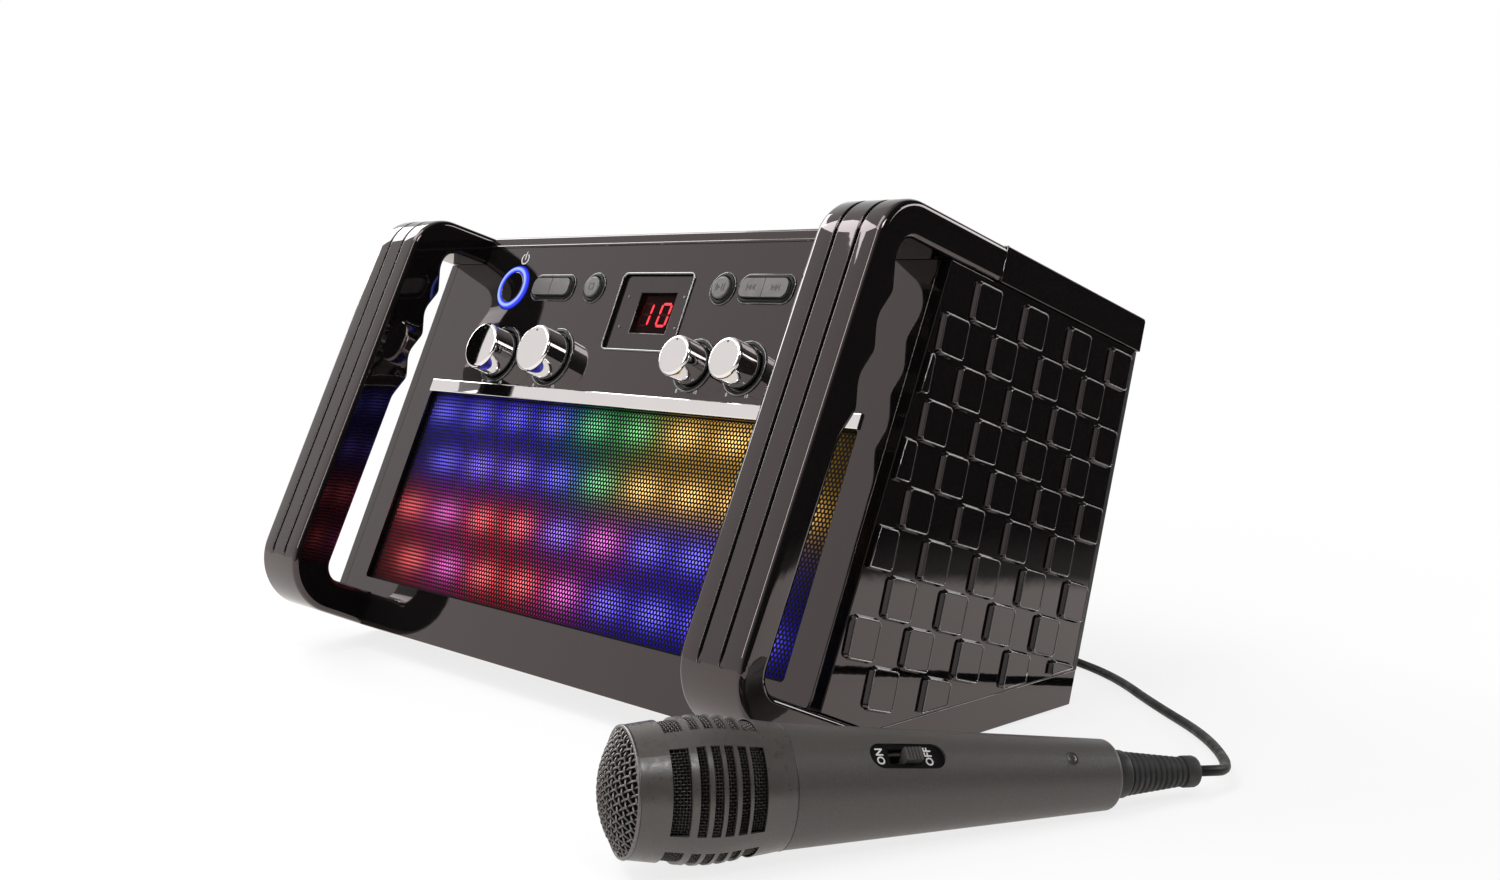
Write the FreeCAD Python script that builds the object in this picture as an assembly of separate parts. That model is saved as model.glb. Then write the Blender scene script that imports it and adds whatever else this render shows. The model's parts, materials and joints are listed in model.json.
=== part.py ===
"""A table-top karaoke machine with two loop handles, a lit grille, a disc player and a wired microphone.

Millimetres. X runs across the machine, the front faces -Y, and Z is up from the floor.
The origin is on the floor under the middle of the base.
"""

import FreeCAD
import Part
import math
import os

from FreeCAD import Placement, Rotation, Vector

# Overall form
overall_width = 380.0  # across the outer faces of the handles
front_lean = 24.0  # lean of the front panel from upright, in degrees
box_tilt = 17.0  # tilt of the top and of the rear wall, in degrees
front_edge_y = -105.0  # lower edge of the front panel
front_edge_z = 14.0
rear_top_y = 128.5  # upper rear corner of the box
rear_top_z = 184.0
crease_z = 17.0  # joint between the side panels and the base
base_front_y = -76.0  # where the flat underside begins
foot_height = 1.0
foot_radius = 9.0
wall = 3.0  # wall of the moulded shells
fit = 0.2  # gap between moulded pieces that meet edge to edge
running_gap = 0.3  # gap between a moving piece and its guide
shaft_gap = 0.05  # radial gap of a shaft in its bearing

# Handles
handle_width = 37.0
handle_reach = 52.5  # from the front panel to the handle's front face
handle_lean = 25.0  # of the handle's front face from upright, in degrees
handle_edge = 3.0  # rounding of the handle's long edges
bar_depth_inner = 23.0
bar_depth_outer = 14.5
arm_thickness = 16.5
lower_arm_thickness = 18.0
handle_top_radius = 24.0
handle_bottom_radius = 29.0
opening_radius = 9.0
seam_from_rear = 114.0  # joint between the upper arm and the top cover
groove_width = 1.2
groove_depth = 1.2
groove_spacing = 12.4
groove_start = 22.0  # above the handle's lower front corner
groove_end = 20.0  # behind the handle's upper front corner
grip_count = 3
grip_pitch = 26.0
grip_start = 11.0
grip_height = 4.5
grip_bump_radius = 7.0
grip_hollow_radius = 12.0

# Side panels, top cover, base
side_inset = 9.0  # side panel's inner face, inside the handle's outer face
side_skin = 3.0
side_rim = 4.0
pad_height = 2.0  # the pads finish flush with the handles
pad_slope = 1.0
pad_pitch_deep = 18.1
pad_pitch_high = 18.95
pad_first_back = 1.9  # first pad's distance from the rear edge
pad_first_down = 3.1  # first pad's distance below the top cover's skirt
pad_radius = 3.0
pad_border = 2.0
pad_least = 8.0
cover_thickness = 5.5

# Front panel
grille_margin = 26.0  # from the handles' outer faces to the sides of the grille
grille_width = overall_width - 2 * grille_margin
grille_bottom = 26.0
grille_height = 111.0
grille_lip = 3.0
grille_recess = 2.0
grille_sheet = 1.0
strip_height = 7.3
strip_proud = 1.2
strip_recess = 1.0
window_x = 0.0066 * overall_width
window_width = 0.1421 * overall_width
window_height = 41.5
window_bottom = 168.0
display_x = 5.0
display_width = 27.5
display_height = 22.0
knob_row = 161.5
button_row = 201.5
board_depth = 12.4  # from the front face to the control board
board_thickness = 1.6
board_width = 0.69 * overall_width
board_bottom = 150.0
board_top = 212.0
board_post_radius = 3.0
KNOBS = {
    "mic_volume_knob": (-0.2882 * overall_width, 27.0),
    "master_volume_knob": (-0.1645 * overall_width, 27.0),
    "echo_knob": (0.129 * overall_width, 21.5),
    "balance_knob": (0.221 * overall_width, 21.5),
}
knob_height = 14.8
knob_gap = 0.6
knob_bevel = 2.0
knob_wall = 4.0
knob_mark = 1.2
shaft_radius = 3.0
pot_size = 15.0
pot_height = 7.0
power_x = -0.3132 * overall_width
power_radius = 9.3
power_ring_width = 2.7
round_radius = 5.8
stop_x = -0.1224 * overall_width
play_x = 0.1382 * overall_width
pair_width = 31.6
pair_height = 9.6
pair_radius = 3.5
function_x = -0.2158 * overall_width
skip_x = 0.2158 * overall_width
bezel_width = 2.0
bezel_proud = 1.2
button_proud = 2.5
button_travel = 1.2
button_flange = 1.0
switch_size = 6.0
stem_radius = 2.0

# Lights and speakers behind the grille
light_rows = 4
light_columns = 9
light_pitch = 0.10305 * grille_width
light_row_pitch = 28.5
light_radius = 2.5
light_height = 4.6
light_strip_height = 9.0
light_strip_thickness = 1.4
baffle_depth = 8.0
speaker_x = 0.221 * overall_width
speaker_radius = 38.0
speaker_flange = 8.0
speaker_depth = 26.0
magnet_radius = 30.0
magnet_height = 15.0

# Disc player
lid_width = 136.0
lid_front = 3.5  # strip of top cover left in front of the lid
lid_rear = 14.0  # strip of top cover left behind the lid's hinge
lid_gap = 0.5
lid_corner = 6.0
hinge_pin_radius = 1.25
hinge_pin_seat = 6.0
well_radius = 61.0
well_depth = 11.5
well_wall = 2.0
table_radius = 15.0
table_height = 2.2
hub_radius = 7.4
hub_height = 3.4
spindle_radius = 1.0
spindle_length = 10.0
motor_radius = 12.0
motor_height = 12.0
sled_start = 26.0  # lens from the disc's centre at rest
sled_travel = 30.0
sled_length = 20.0
sled_width = 32.0
sled_height = 8.0
sled_drop = 3.0
lens_radius = 4.0
rail_radius = 1.5
rail_spacing = 24.0
screw_offset = 20.0
lug_thickness = 2.5

# Rear wall
jack_v = -128.0  # row of sockets, below the top edge
socket_proud = 2.0
mic_jack_x = (2.0, -0.0842 * overall_width)
mic_jack_bore = 3.25
mic_jack_bush = 4.7
mic_jack_depth = 27.0
mic_jack_body = 15.0
av_jack_x = (-0.1737 * overall_width, -0.2158 * overall_width, -0.2579 * overall_width)
av_radius = 4.15
av_length = 8.0
av_bore = 1.6
inlet_x = -0.3579 * overall_width
inlet_width = 22.0
inlet_height = 12.0
inlet_depth = 16.0
vent_count = 11
vent_pitch = 9.0
vent_width = 2.6
vent_length = 30.0
vent_v = -88.0
case_screw_radius = 1.5
case_screw_head = 3.2
case_screw_length = 9.0
case_screw_heights = (-36.0, -92.0, -150.0)
case_screw_edge = 6.0
cradle_width = 250.0
cradle_slot = 12.0
cradle_ledge_v = -17.0
cradle_lip = 34.0
cradle_lip_lean = 8.0
cradle_plate = 24.0

# Inside the base
main_board_size = (150.0, 84.0)
main_board_x = -40.0
main_board_y = 2.0
main_board_stand = 7.0
chip_size = (18.0, 18.0, 2.0)
heat_sink_size = (22.0, 50.0, 18.0)
heat_sink_x = 41.0  # from the board's middle
capacitor_radius = 6.0
capacitor_height = 16.0
capacitor_pitch = 16.0
capacitor_count = 3
supply_size = (58.0, 46.0, 40.0)
supply_x = 100.0
supply_y = 8.0

# Microphone, measured along its axis from the tip of its dome
mic_tip_x = 200.2
mic_tip_y = -219.5
mic_heading = 65.94  # of the axis on the floor, from +X, in degrees
mic_roll = 46.0  # of the switch, above the side that faces the front right
mic_rim_at = 8.0
mic_rim_radius = 22.7
mic_widest_at = 35.0
mic_widest_radius = 26.3
mic_neck_at = 64.0
mic_neck_radius = 22.3
mic_tail_at = 200.3
mic_tail_radius = 13.4
mic_wall = 2.5
mic_bore = 9.0
mic_slots = ((18.4, 25.0), (27.6, 30.9), (32.6, 35.9), (37.4, 40.7), (42.3, 45.6), (46.8, 52.2))
mic_slot_groups = 4
mic_slot_arc = 72.0
mic_slot_roll = 15.0  # of one group's middle, above the side that faces the front right
mic_mesh = 1.0
mic_plate_from = 93.3
mic_plate_to = 123.8
mic_plate_width = 10.0
mic_plate_depth = 2.2
mic_switch_at = 107.0
mic_switch_length = 6.5
mic_switch_width = 5.0
mic_switch_travel = 5.5
boot_collar_radius = 9.3
boot_ribs_at = 207.8
boot_ribs = 10
boot_rib_depth = 0.7
boot_start_radius = 8.4
boot_end_radius = 5.8
boot_flange_at = 234.3
boot_end_at = 241.0

# Microphone cord
cord_diameter = 4.4
cord_gap = 0.6  # between turns of the coil
cord_straight = 9.0  # straight run at the coil and the plug
boot_straight = 7.0  # straight run out of the boot
coil_x = 75.0
coil_y = 126.0
coil_base = 3.6  # height of the lowest turns' middle
coil_outer = 32.0  # radius of the outermost turn's middle
coil_layers = 4
coil_layer_turns = 3.5
tie_thickness = 1.0
tie_width = 7.0
tie_angle = 250.0
plug_tip = 27.0
plug_shaft_radius = 3.17
plug_body_radius = 6.0
plug_body_length = 30.0
plug_relief_radius = 4.0
plug_relief_length = 12.0

# Route of the cord from the boot to the coil, and from the coil to the plug
CORD_ROUTE = (
    (302.1, 16.6, 7.8),
    (296.8, 27.4, 6.9),
    (285.5, 43.0, 5.4),
    (270.0, 61.0, 3.8),
    (252.0, 77.5, 2.7),
    (232.0, 91.5, 2.3),
    (209.0, 107.5, 2.3),
    (186.0, 125.0, 2.3),
    (163.0, 138.0, 2.3),
    (140.5, 146.5, 2.3),
    (118.0, 153.5, 2.6),
)
LEAD_ROUTE = (
    (47.5, 160.3, 19.4),
    (35.5, 164.2, 21.6),
    (24.0, 166.8, 25.2),
    (13.5, 166.2, 30.2),
    (6.0, 161.5, 36.0),
    (2.6, 153.9, 41.4),
)

FRONT = Placement(
    Vector(0, front_edge_y, front_edge_z), Rotation(Vector(1, 0, 0), 90 - front_lean)
)
BOX = Placement(Vector(0, rear_top_y, rear_top_z), Rotation(Vector(1, 0, 0), -box_tilt))


def placed(frame, shape):
    """A copy of a shape that was made in a local frame, moved to its place on the machine."""
    copy = shape.copy()
    copy.Placement = frame.multiply(copy.Placement)
    return copy


def on_front(shape):
    """From the front panel's frame: across, up the panel, out of the panel."""
    return placed(FRONT, shape)


def in_box(shape):
    """From the box's frame: across, back along the top, up along the rear wall."""
    return placed(BOX, shape)


def mirrored(shape):
    return shape.mirror(Vector(0, 0, 0), Vector(1, 0, 0))


def both_sides(shape):
    return shape.fuse(mirrored(shape))


def block(x0, x1, y0, y1, z0, z1):
    return Part.makeBox(x1 - x0, y1 - y0, z1 - z0, Vector(x0, y0, z0))


def standing_block(x, y, z, size):
    """A block of size (width, depth, height) that stands on z, with its middle at x and y."""
    width, depth, height = size
    return block(x - width / 2, x + width / 2, y - depth / 2, y + depth / 2, z, z + height)


def post(x, y, radius, z0, z1):
    return Part.makeCylinder(radius, z1 - z0, Vector(x, y, z0))


def lying_post(x0, x1, y, z, radius):
    return Part.makeCylinder(radius, x1 - x0, Vector(x0, y, z), Vector(1, 0, 0))


def deep_post(x, z, radius, y0, y1):
    return Part.makeCylinder(radius, y1 - y0, Vector(x, y0, z), Vector(0, 1, 0))


def rounded_wire(corners, at):
    """A closed wire through corners (a, b, radius), where at(a, b) gives the point in space."""
    ends = []
    for i, (a, b, radius) in enumerate(corners):
        here = Vector(a, b, 0)
        if radius == 0:
            ends.append((here, None, here))
            continue
        before = Vector(*corners[i - 1][:2], 0) - here
        after = Vector(*corners[(i + 1) % len(corners)][:2], 0) - here
        before.normalize()
        after.normalize()
        half_angle = before.getAngle(after) / 2
        reach = radius / math.tan(half_angle)
        inward = (before + after).normalize()
        middle = here + inward * (radius / math.sin(half_angle) - radius)
        ends.append((here + before * reach, middle, here + after * reach))
    edges = []
    for i, (start, middle, end) in enumerate(ends):
        if middle is not None:
            arc = [at(p.x, p.y) for p in (start, middle, end)]
            edges.append(Part.Arc(*arc).toShape())
        following = ends[(i + 1) % len(ends)][0]
        if end.distanceToPoint(following) > 1e-6:
            edges.append(Part.LineSegment(at(end.x, end.y), at(following.x, following.y)).toShape())
    return Part.Wire(edges)


def rectangle(x0, x1, y0, y1, radius=0):
    return [(x0, y0, radius), (x1, y0, radius), (x1, y1, radius), (x0, y1, radius)]


def plate(corners, z0, z1):
    """A flat plate with rounded corners, in a local XY plane."""
    wire = rounded_wire(corners, lambda a, b: Vector(a, b, z0))
    return Part.Face(wire).extrude(Vector(0, 0, z1 - z0))


def side_plate(corners, x0, x1):
    """A plate in the side view, with corners (y, z) or (y, z, radius)."""
    full = [(*corner, 0)[:3] for corner in corners]
    wire = rounded_wire(full, lambda a, b: Vector(x0, a, b))
    return Part.Face(wire).extrude(Vector(x1 - x0, 0, 0))


def lathe(corners):
    """A solid turned about local Z, with corners (radius, z) or (radius, z, rounding)."""
    full = [(*corner, 0)[:3] for corner in corners]
    wire = rounded_wire(full, lambda a, b: Vector(a, 0, b))
    return Part.Face(wire).revolve(Vector(0, 0, 0), Vector(0, 0, 1), 360)


def group(shapes):
    return Part.makeCompound(shapes)


# Lines of the side view, each a point and a direction with the inside on its right
def direction_of(degrees):
    return math.sin(math.radians(degrees)), math.cos(math.radians(degrees))


def through(start, end):
    length = math.dist(start, end)
    return start, ((end[0] - start[0]) / length, (end[1] - start[1]) / length)


def side_point(frame, a, b):
    point = frame.multVec(Vector(0, a, b))
    return point.y, point.z


def shifted(line, distance):
    (y, z), (dy, dz) = line
    return (y + dz * distance, z - dy * distance), (dy, dz)


def meet(first, second):
    (y1, z1), (dy1, dz1) = first
    (y2, z2), (dy2, dz2) = second
    cross = dy1 * dz2 - dz1 * dy2
    along = ((y2 - y1) * dz2 - (z2 - z1) * dy2) / cross
    return y1 + dy1 * along, z1 + dz1 * along


def level(z):
    return (0.0, z), (1.0, 0.0)


PANEL_LINE = ((front_edge_y, front_edge_z), direction_of(front_lean))
PANEL_BACK = shifted(PANEL_LINE, wall)
FRONT_LINE = (side_point(FRONT, 0, handle_reach), direction_of(handle_lean))
TOP_LINE = ((rear_top_y, rear_top_z), direction_of(90 + box_tilt))
REAR_LINE = ((rear_top_y, rear_top_z), direction_of(180 + box_tilt))
REAR_OUTER = shifted(REAR_LINE, -wall)
BOTTOM_LINE = through((base_front_y, foot_height), (front_edge_y, front_edge_z))
SEAM = (side_point(BOX, -seam_from_rear, 0), direction_of(box_tilt))
CREASE_FRONT = meet(shifted(BOTTOM_LINE, lower_arm_thickness), level(crease_z))
LOWER_SEAM = through((base_front_y, foot_height), CREASE_FRONT)
COVER_UNDER = shifted(TOP_LINE, cover_thickness)
ARM_UNDER = shifted(TOP_LINE, arm_thickness)

outer_x = overall_width / 2
arm_x = outer_x - handle_width
side_x = outer_x - side_inset
side_outer = outer_x - pad_height
front_at_top = meet(PANEL_LINE, TOP_LINE)
cover_depth = math.dist(front_at_top, (rear_top_y, rear_top_z))


# Handles
def handle_corners(bar_depth, inset):
    """Corners of the handle's side view, drawn in by inset on every edge."""
    front = shifted(FRONT_LINE, inset)
    top = shifted(TOP_LINE, inset)
    bottom = shifted(BOTTOM_LINE, inset)
    bar_rear = shifted(FRONT_LINE, bar_depth - inset)
    arm_under = shifted(TOP_LINE, arm_thickness - inset)
    arm_over = shifted(BOTTOM_LINE, lower_arm_thickness - inset)
    return [
        (*meet(front, top), handle_top_radius - inset),
        (*meet(top, SEAM), 0),
        (*meet(SEAM, arm_under), 0),
        (*meet(arm_under, bar_rear), opening_radius + inset),
        *grip_corners(bar_depth, inset),
        (*meet(bar_rear, arm_over), opening_radius + inset),
        (*meet(arm_over, LOWER_SEAM), 0),
        (*meet(LOWER_SEAM, bottom), 0),
        (*meet(bottom, front), handle_bottom_radius - inset),
    ]


def grip_corners(bar_depth, inset):
    """Finger bumps and the hollows between them, down the rear of the bar."""
    start = meet(ARM_UNDER, shifted(FRONT_LINE, bar_depth))
    dy, dz = FRONT_LINE[1]
    corners = []
    for i in range(2 * grip_count + 1):
        along = grip_start + i * grip_pitch / 2
        bump = i % 2 == 1
        out = (grip_height if bump else 0) - inset
        radius = grip_bump_radius - inset if bump else grip_hollow_radius + inset
        y = start[0] - dy * along + dz * out
        z = start[1] - dz * along - dy * out
        corners.append((y, z, radius))
    return corners


def handle_groove(x):
    """A thin groove that runs up the front of the bar and over its upper corner."""
    above = 1.0
    dy, dz = FRONT_LINE[1]
    low = meet(FRONT_LINE, BOTTOM_LINE)
    start = ((low[0] + dy * groove_start, low[1] + dz * groove_start), (dz, -dy))
    high = meet(FRONT_LINE, TOP_LINE)
    ty, tz = TOP_LINE[1]
    end = ((high[0] + ty * groove_end, high[1] + tz * groove_end), (tz, -ty))
    outside = [shifted(line, -above) for line in (FRONT_LINE, TOP_LINE)]
    inside = [shifted(line, groove_depth) for line in (FRONT_LINE, TOP_LINE)]
    corners = [
        meet(start, outside[0]),
        (*meet(*outside), handle_top_radius + above),
        meet(end, outside[1]),
        meet(end, inside[1]),
        (*meet(*inside), handle_top_radius - groove_depth),
        meet(start, inside[0]),
    ]
    return side_plate(corners, x - groove_width / 2, x + groove_width / 2)


def right_handle():
    step = handle_edge * (1 - math.cos(math.pi / 4))
    edge = [(0, handle_edge), (step, step), (handle_edge, 0)]
    sections = [(arm_x + fit + offset, inset) for offset, inset in edge]
    sections += [(outer_x - offset, inset) for offset, inset in reversed(edge)]
    wires = []
    for x, inset in sections:
        share = (x - arm_x) / handle_width
        depth = bar_depth_inner + (bar_depth_outer - bar_depth_inner) * share
        wires.append(rounded_wire(handle_corners(depth, inset), lambda a, b, x=x: Vector(x, a, b)))
    solid = Part.makeLoft(wires, True, True)
    middle = outer_x - handle_width / 2
    for side in (-1, 1):
        solid = solid.cut(handle_groove(middle + side * groove_spacing / 2))
    return solid


# Casing
def board_posts():
    low_reach = board_width / 2 - 2 * board_post_radius
    high_reach = window_width / 2 + 2 * board_post_radius
    low = [(side * low_reach, board_bottom + 2 * board_post_radius) for side in (-1, 1)]
    high = [(window_x + side * high_reach, board_top - 2 * board_post_radius) for side in (-1, 1)]
    return low + high


def front_panel():
    tall = 2 * meet(PANEL_LINE, TOP_LINE)[1]
    panel = plate(rectangle(-side_x, side_x, 0, tall), -wall, 0)
    grille_top = grille_bottom + grille_height
    half = grille_width / 2
    holes = [
        plate(rectangle(-half, half, grille_bottom, grille_top, 2), -wall, 0),
        plate(rectangle(-half, half, grille_top, grille_top + strip_height), -strip_recess, 0),
        plate(window_outline(0), -wall, 0),
        post(power_x, button_row, power_radius + running_gap + power_ring_width, -wall, 0),
    ]
    for x in (stop_x, play_x):
        holes.append(post(x, button_row, round_radius + running_gap + bezel_width, -wall, 0))
    for x in (function_x, skip_x):
        holes.append(plate(pair_outline(x, running_gap + bezel_width), -wall, 0))
    for x, _ in KNOBS.values():
        holes.append(post(x, knob_row, shaft_radius + running_gap, -wall, 0))
    holes.append(both_sides(block(arm_x, outer_x, 0, lower_arm_thickness + fit, -wall, 0)))
    panel = panel.cut(holes)
    panel = panel.fuse(
        [post(x, s, board_post_radius, -board_depth, -wall) for x, s in board_posts()]
    )
    panel = on_front(panel)
    long = 2 * outer_x
    above = block(-long, long, -long, long, -cover_thickness, long)
    arms = both_sides(block(arm_x, long, -long, long, -arm_thickness - fit, long))
    return panel.cut([in_box(above), in_box(arms)]).removeSplitter()


def window_outline(grow):
    half = window_width / 2 + grow
    low = window_bottom - grow
    high = window_bottom + window_height + grow
    return rectangle(window_x - half, window_x + half, low, high, 1.5 + grow)


def top_cover():
    wide = [
        meet(SEAM, TOP_LINE),
        (*meet(TOP_LINE, REAR_OUTER), 2.0),
        meet(REAR_OUTER, COVER_UNDER),
        meet(SEAM, COVER_UNDER),
    ]
    narrow = [
        (*front_at_top, 1.5),
        meet(SEAM, TOP_LINE),
        meet(SEAM, COVER_UNDER),
        meet(PANEL_LINE, COVER_UNDER),
    ]
    skirt = [
        meet(SEAM, COVER_UNDER),
        meet(REAR_OUTER, COVER_UNDER),
        meet(REAR_OUTER, ARM_UNDER),
        meet(SEAM, ARM_UNDER),
    ]
    cover = side_plate(wide, -outer_x, outer_x)
    cover = cover.fuse(
        [
            side_plate(narrow, -arm_x, arm_x),
            both_sides(side_plate(skirt, side_x, outer_x)),
        ]
    )
    half = lid_width / 2 + lid_gap
    front = lid_front_u() - lid_gap
    rear = hinge_u() + barrel_radius() + lid_gap
    corners = [(-half, front, lid_corner), (half, front, lid_corner), (half, rear, 0), (-half, rear, 0)]
    opening = plate(corners, -cover_thickness, 0)
    pin_length = lid_width / 2 + hinge_pin_seat
    pin = lying_post(-pin_length, pin_length, hinge_u(), -barrel_radius(), hinge_pin_radius)
    return cover.cut([in_box(opening), in_box(pin)]).removeSplitter()


def side_panel_outline(inset):
    """Corners of the side panel's outline, drawn in by inset."""
    front = shifted(PANEL_LINE, inset)
    under = shifted(TOP_LINE, arm_thickness + fit + inset)
    rear = shifted(REAR_LINE, inset)
    low = level(crease_z + inset)
    over = shifted(BOTTOM_LINE, lower_arm_thickness + fit + inset)
    return [meet(front, over), meet(front, under), meet(under, rear), meet(rear, low), meet(low, over)]


def pad(row, column, field):
    """One raised pad with sloping sides, clipped to the side panel's field."""
    u1 = -pad_first_back - column * pad_pitch_deep
    v1 = -arm_thickness - pad_first_down - row * pad_pitch_high
    wires = []
    for rise, inset in ((0, 0), (pad_height, pad_slope)):
        sides = rectangle(
            u1 - pad_pitch_deep + inset, u1 - inset, v1 - pad_pitch_high + inset, v1 - inset
        )
        corners = [(*side_point(BOX, u, v), pad_radius - inset) for u, v, _ in sides]
        x = side_outer + rise
        wires.append(rounded_wire(corners, lambda a, b, x=x: Vector(x, a, b)))
    return Part.makeLoft(wires, True, True).common(field)


def side_pads():
    """Pads in every other cell of a grid that follows the tilted box."""
    columns = math.ceil(1.3 * cover_depth / pad_pitch_deep)
    rows = math.ceil(rear_top_z / pad_pitch_high)
    corners = [(*corner, pad_radius) for corner in side_panel_outline(pad_border)]
    field = side_plate(corners, side_outer, outer_x)
    pads = [
        pad(row, column, field)
        for row in range(rows)
        for column in range(columns)
        if (row + column) % 2 == 0
    ]
    least = pad_height * pad_least**2
    return [solid for shape in pads for solid in shape.Solids if solid.Volume > least]


def case_screw_places():
    """Places of the rear wall's screws, across and up the box."""
    across = side_x - case_screw_edge
    return [(side * across, v) for side in (-1, 1) for v in case_screw_heights]


def right_side_panel():
    inner = side_outer - side_skin
    panel = side_plate(side_panel_outline(0), side_x, side_outer)
    panel = panel.cut(side_plate(side_panel_outline(side_rim), side_x, inner))
    panel = panel.fuse(side_pads())
    for x, v in case_screw_places():
        if x > 0:
            size = case_screw_edge
            boss = block(x - size, inner, -case_screw_length, 0, v - size, v + size)
            hole = deep_post(x, v, case_screw_radius, -case_screw_length, 0)
            panel = panel.fuse(in_box(boss)).cut(in_box(hole))
    return panel.removeSplitter()


def base_tray():
    floor = foot_height + wall
    slope_in = shifted(BOTTOM_LINE, wall)
    rear_in = REAR_LINE
    rear_low = meet(REAR_OUTER, level(foot_height))
    middle = [
        meet(PANEL_BACK, BOTTOM_LINE),
        (base_front_y, foot_height),
        rear_low,
        meet(REAR_OUTER, level(crease_z)),
        meet(rear_in, level(crease_z)),
        meet(rear_in, level(floor)),
        meet(slope_in, level(floor)),
        meet(PANEL_BACK, slope_in),
    ]
    flank = [
        (base_front_y, foot_height),
        rear_low,
        meet(REAR_OUTER, level(crease_z)),
        meet(rear_in, level(crease_z)),
        meet(rear_in, level(floor)),
        meet(LOWER_SEAM, level(floor)),
    ]
    end = [
        (base_front_y, foot_height),
        rear_low,
        meet(REAR_OUTER, level(crease_z)),
        CREASE_FRONT,
    ]
    tray = side_plate(middle, -arm_x, arm_x)
    tray = tray.fuse(
        [
            both_sides(side_plate(flank, arm_x, side_outer)),
            both_sides(side_plate(end, side_outer - 2 * wall, side_outer)),
        ]
    )
    stands = [
        post(x, y, board_post_radius, floor, floor + main_board_stand) for x, y in main_board_stands()
    ]
    return tray.fuse(stands).removeSplitter()


def rear_panel():
    long = 2 * outer_x
    lowest = -rear_top_z / math.cos(math.radians(box_tilt))
    panel = block(-side_outer, side_outer, 0, wall, lowest, -arm_thickness - fit)
    panel = panel.fuse(block(-side_x + fit, side_x - fit, 0, wall, lowest, -cover_thickness))
    holes = [deep_post(x, jack_v, mic_jack_bush, 0, wall) for x in mic_jack_x]
    holes += [deep_post(x, jack_v, av_radius, 0, wall) for x in av_jack_x]
    holes += [deep_post(x, v, case_screw_radius + fit, 0, wall) for x, v in case_screw_places()]
    holes.append(inlet_block(inlet_width, inlet_height, 0, wall))
    for side in (-1, 1):
        for i in range(vent_count):
            x = side * outer_x / 2 + (i - (vent_count - 1) / 2) * vent_pitch
            half = vent_width / 2
            holes.append(block(x - half, x + half, 0, wall, vent_v, vent_v + vent_length))
    panel = in_box(panel.cut(holes))
    return panel.cut(block(-long, long, -long, long, -long, crease_z)).removeSplitter()


def inlet_block(width, height, u0, u1):
    x0 = inlet_x - width / 2
    v0 = jack_v - height / 2
    return block(x0, x0 + width, u0, u1, v0, v0 + height)


def rubber_feet():
    rear = meet(REAR_OUTER, level(foot_height))[0]
    across = side_outer - 2.5 * foot_radius
    places = [
        (side * across, y)
        for side in (-1, 1)
        for y in (base_front_y + 2 * foot_radius, rear - 2 * foot_radius)
    ]
    places.append((0, 0))
    return group([post(x, y, foot_radius, 0, foot_height) for x, y in places])


# Front trim, lights and speakers
def speaker_grille():
    half = grille_width / 2
    top = grille_bottom + grille_height
    lip = grille_lip
    flange = plate(
        rectangle(-half - lip, half + lip, grille_bottom - lip, top + lip), -wall - grille_sheet, -wall
    )
    field = plate(
        rectangle(-half + fit, half - fit, grille_bottom + fit, top - fit, 2), -wall, -grille_recess
    )
    return on_front(flange.fuse(field))


def chrome_strip():
    half = grille_width / 2
    low = grille_bottom + grille_height
    high = low + strip_height
    edge = strip_proud * 0.6
    strip = block(-half, half, low, high, -strip_recess, strip_proud)
    long_edges = [
        e
        for e in strip.Edges
        if e.BoundBox.XLength > grille_width / 2 and e.BoundBox.ZMax > strip_proud - 1e-6
    ]
    return on_front(strip.makeFillet(edge, long_edges))


def speaker_baffle():
    half = grille_width / 2 + grille_lip
    low = grille_bottom - grille_lip
    high = grille_bottom + grille_height + grille_lip
    front = -wall - grille_sheet
    tray = block(-half, half, low, high, front - baffle_depth - wall, front)
    inside = block(-half + wall, half - wall, low + wall, high - wall, front - baffle_depth, front)
    holes = [post(side * speaker_x, speaker_s(), speaker_radius, -2 * half, 0) for side in (-1, 1)]
    return on_front(tray.cut([inside, *holes]))


def speaker_s():
    return grille_bottom + grille_height / 2


def light_places():
    """Places of the lights, in rows from the top, each row half a pitch from the next."""
    places = []
    for row in range(light_rows):
        s = speaker_s() + ((light_rows - 1) / 2 - row) * light_row_pitch
        start = (light_pitch / 4) * (1 if row % 2 else -1)
        for column in range(light_columns):
            places.append((start + (column - (light_columns - 1) / 2) * light_pitch, s))
    return places


def light_seat():
    return -wall - grille_sheet - baffle_depth


def led_strips():
    half = grille_width / 2 - wall
    seat = light_seat()
    heights = sorted({s for _, s in light_places()})
    strips = []
    for s in heights:
        low = s - light_strip_height / 2
        strips.append(
            block(-half, half, low, low + light_strip_height, seat, seat + light_strip_thickness)
        )
    return on_front(group(strips))


def leds():
    base = light_seat() + light_strip_thickness
    bodies = []
    for x, s in light_places():
        straight = light_height - light_radius
        body = post(x, s, light_radius, base, base + straight)
        dome = Part.makeSphere(light_radius, Vector(x, s, base + straight), Vector(0, 0, 1), 0, 90, 360)
        bodies.append(body.fuse(dome).removeSplitter())
    return on_front(group(bodies))


def speaker_seat():
    return light_seat() - wall


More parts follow.
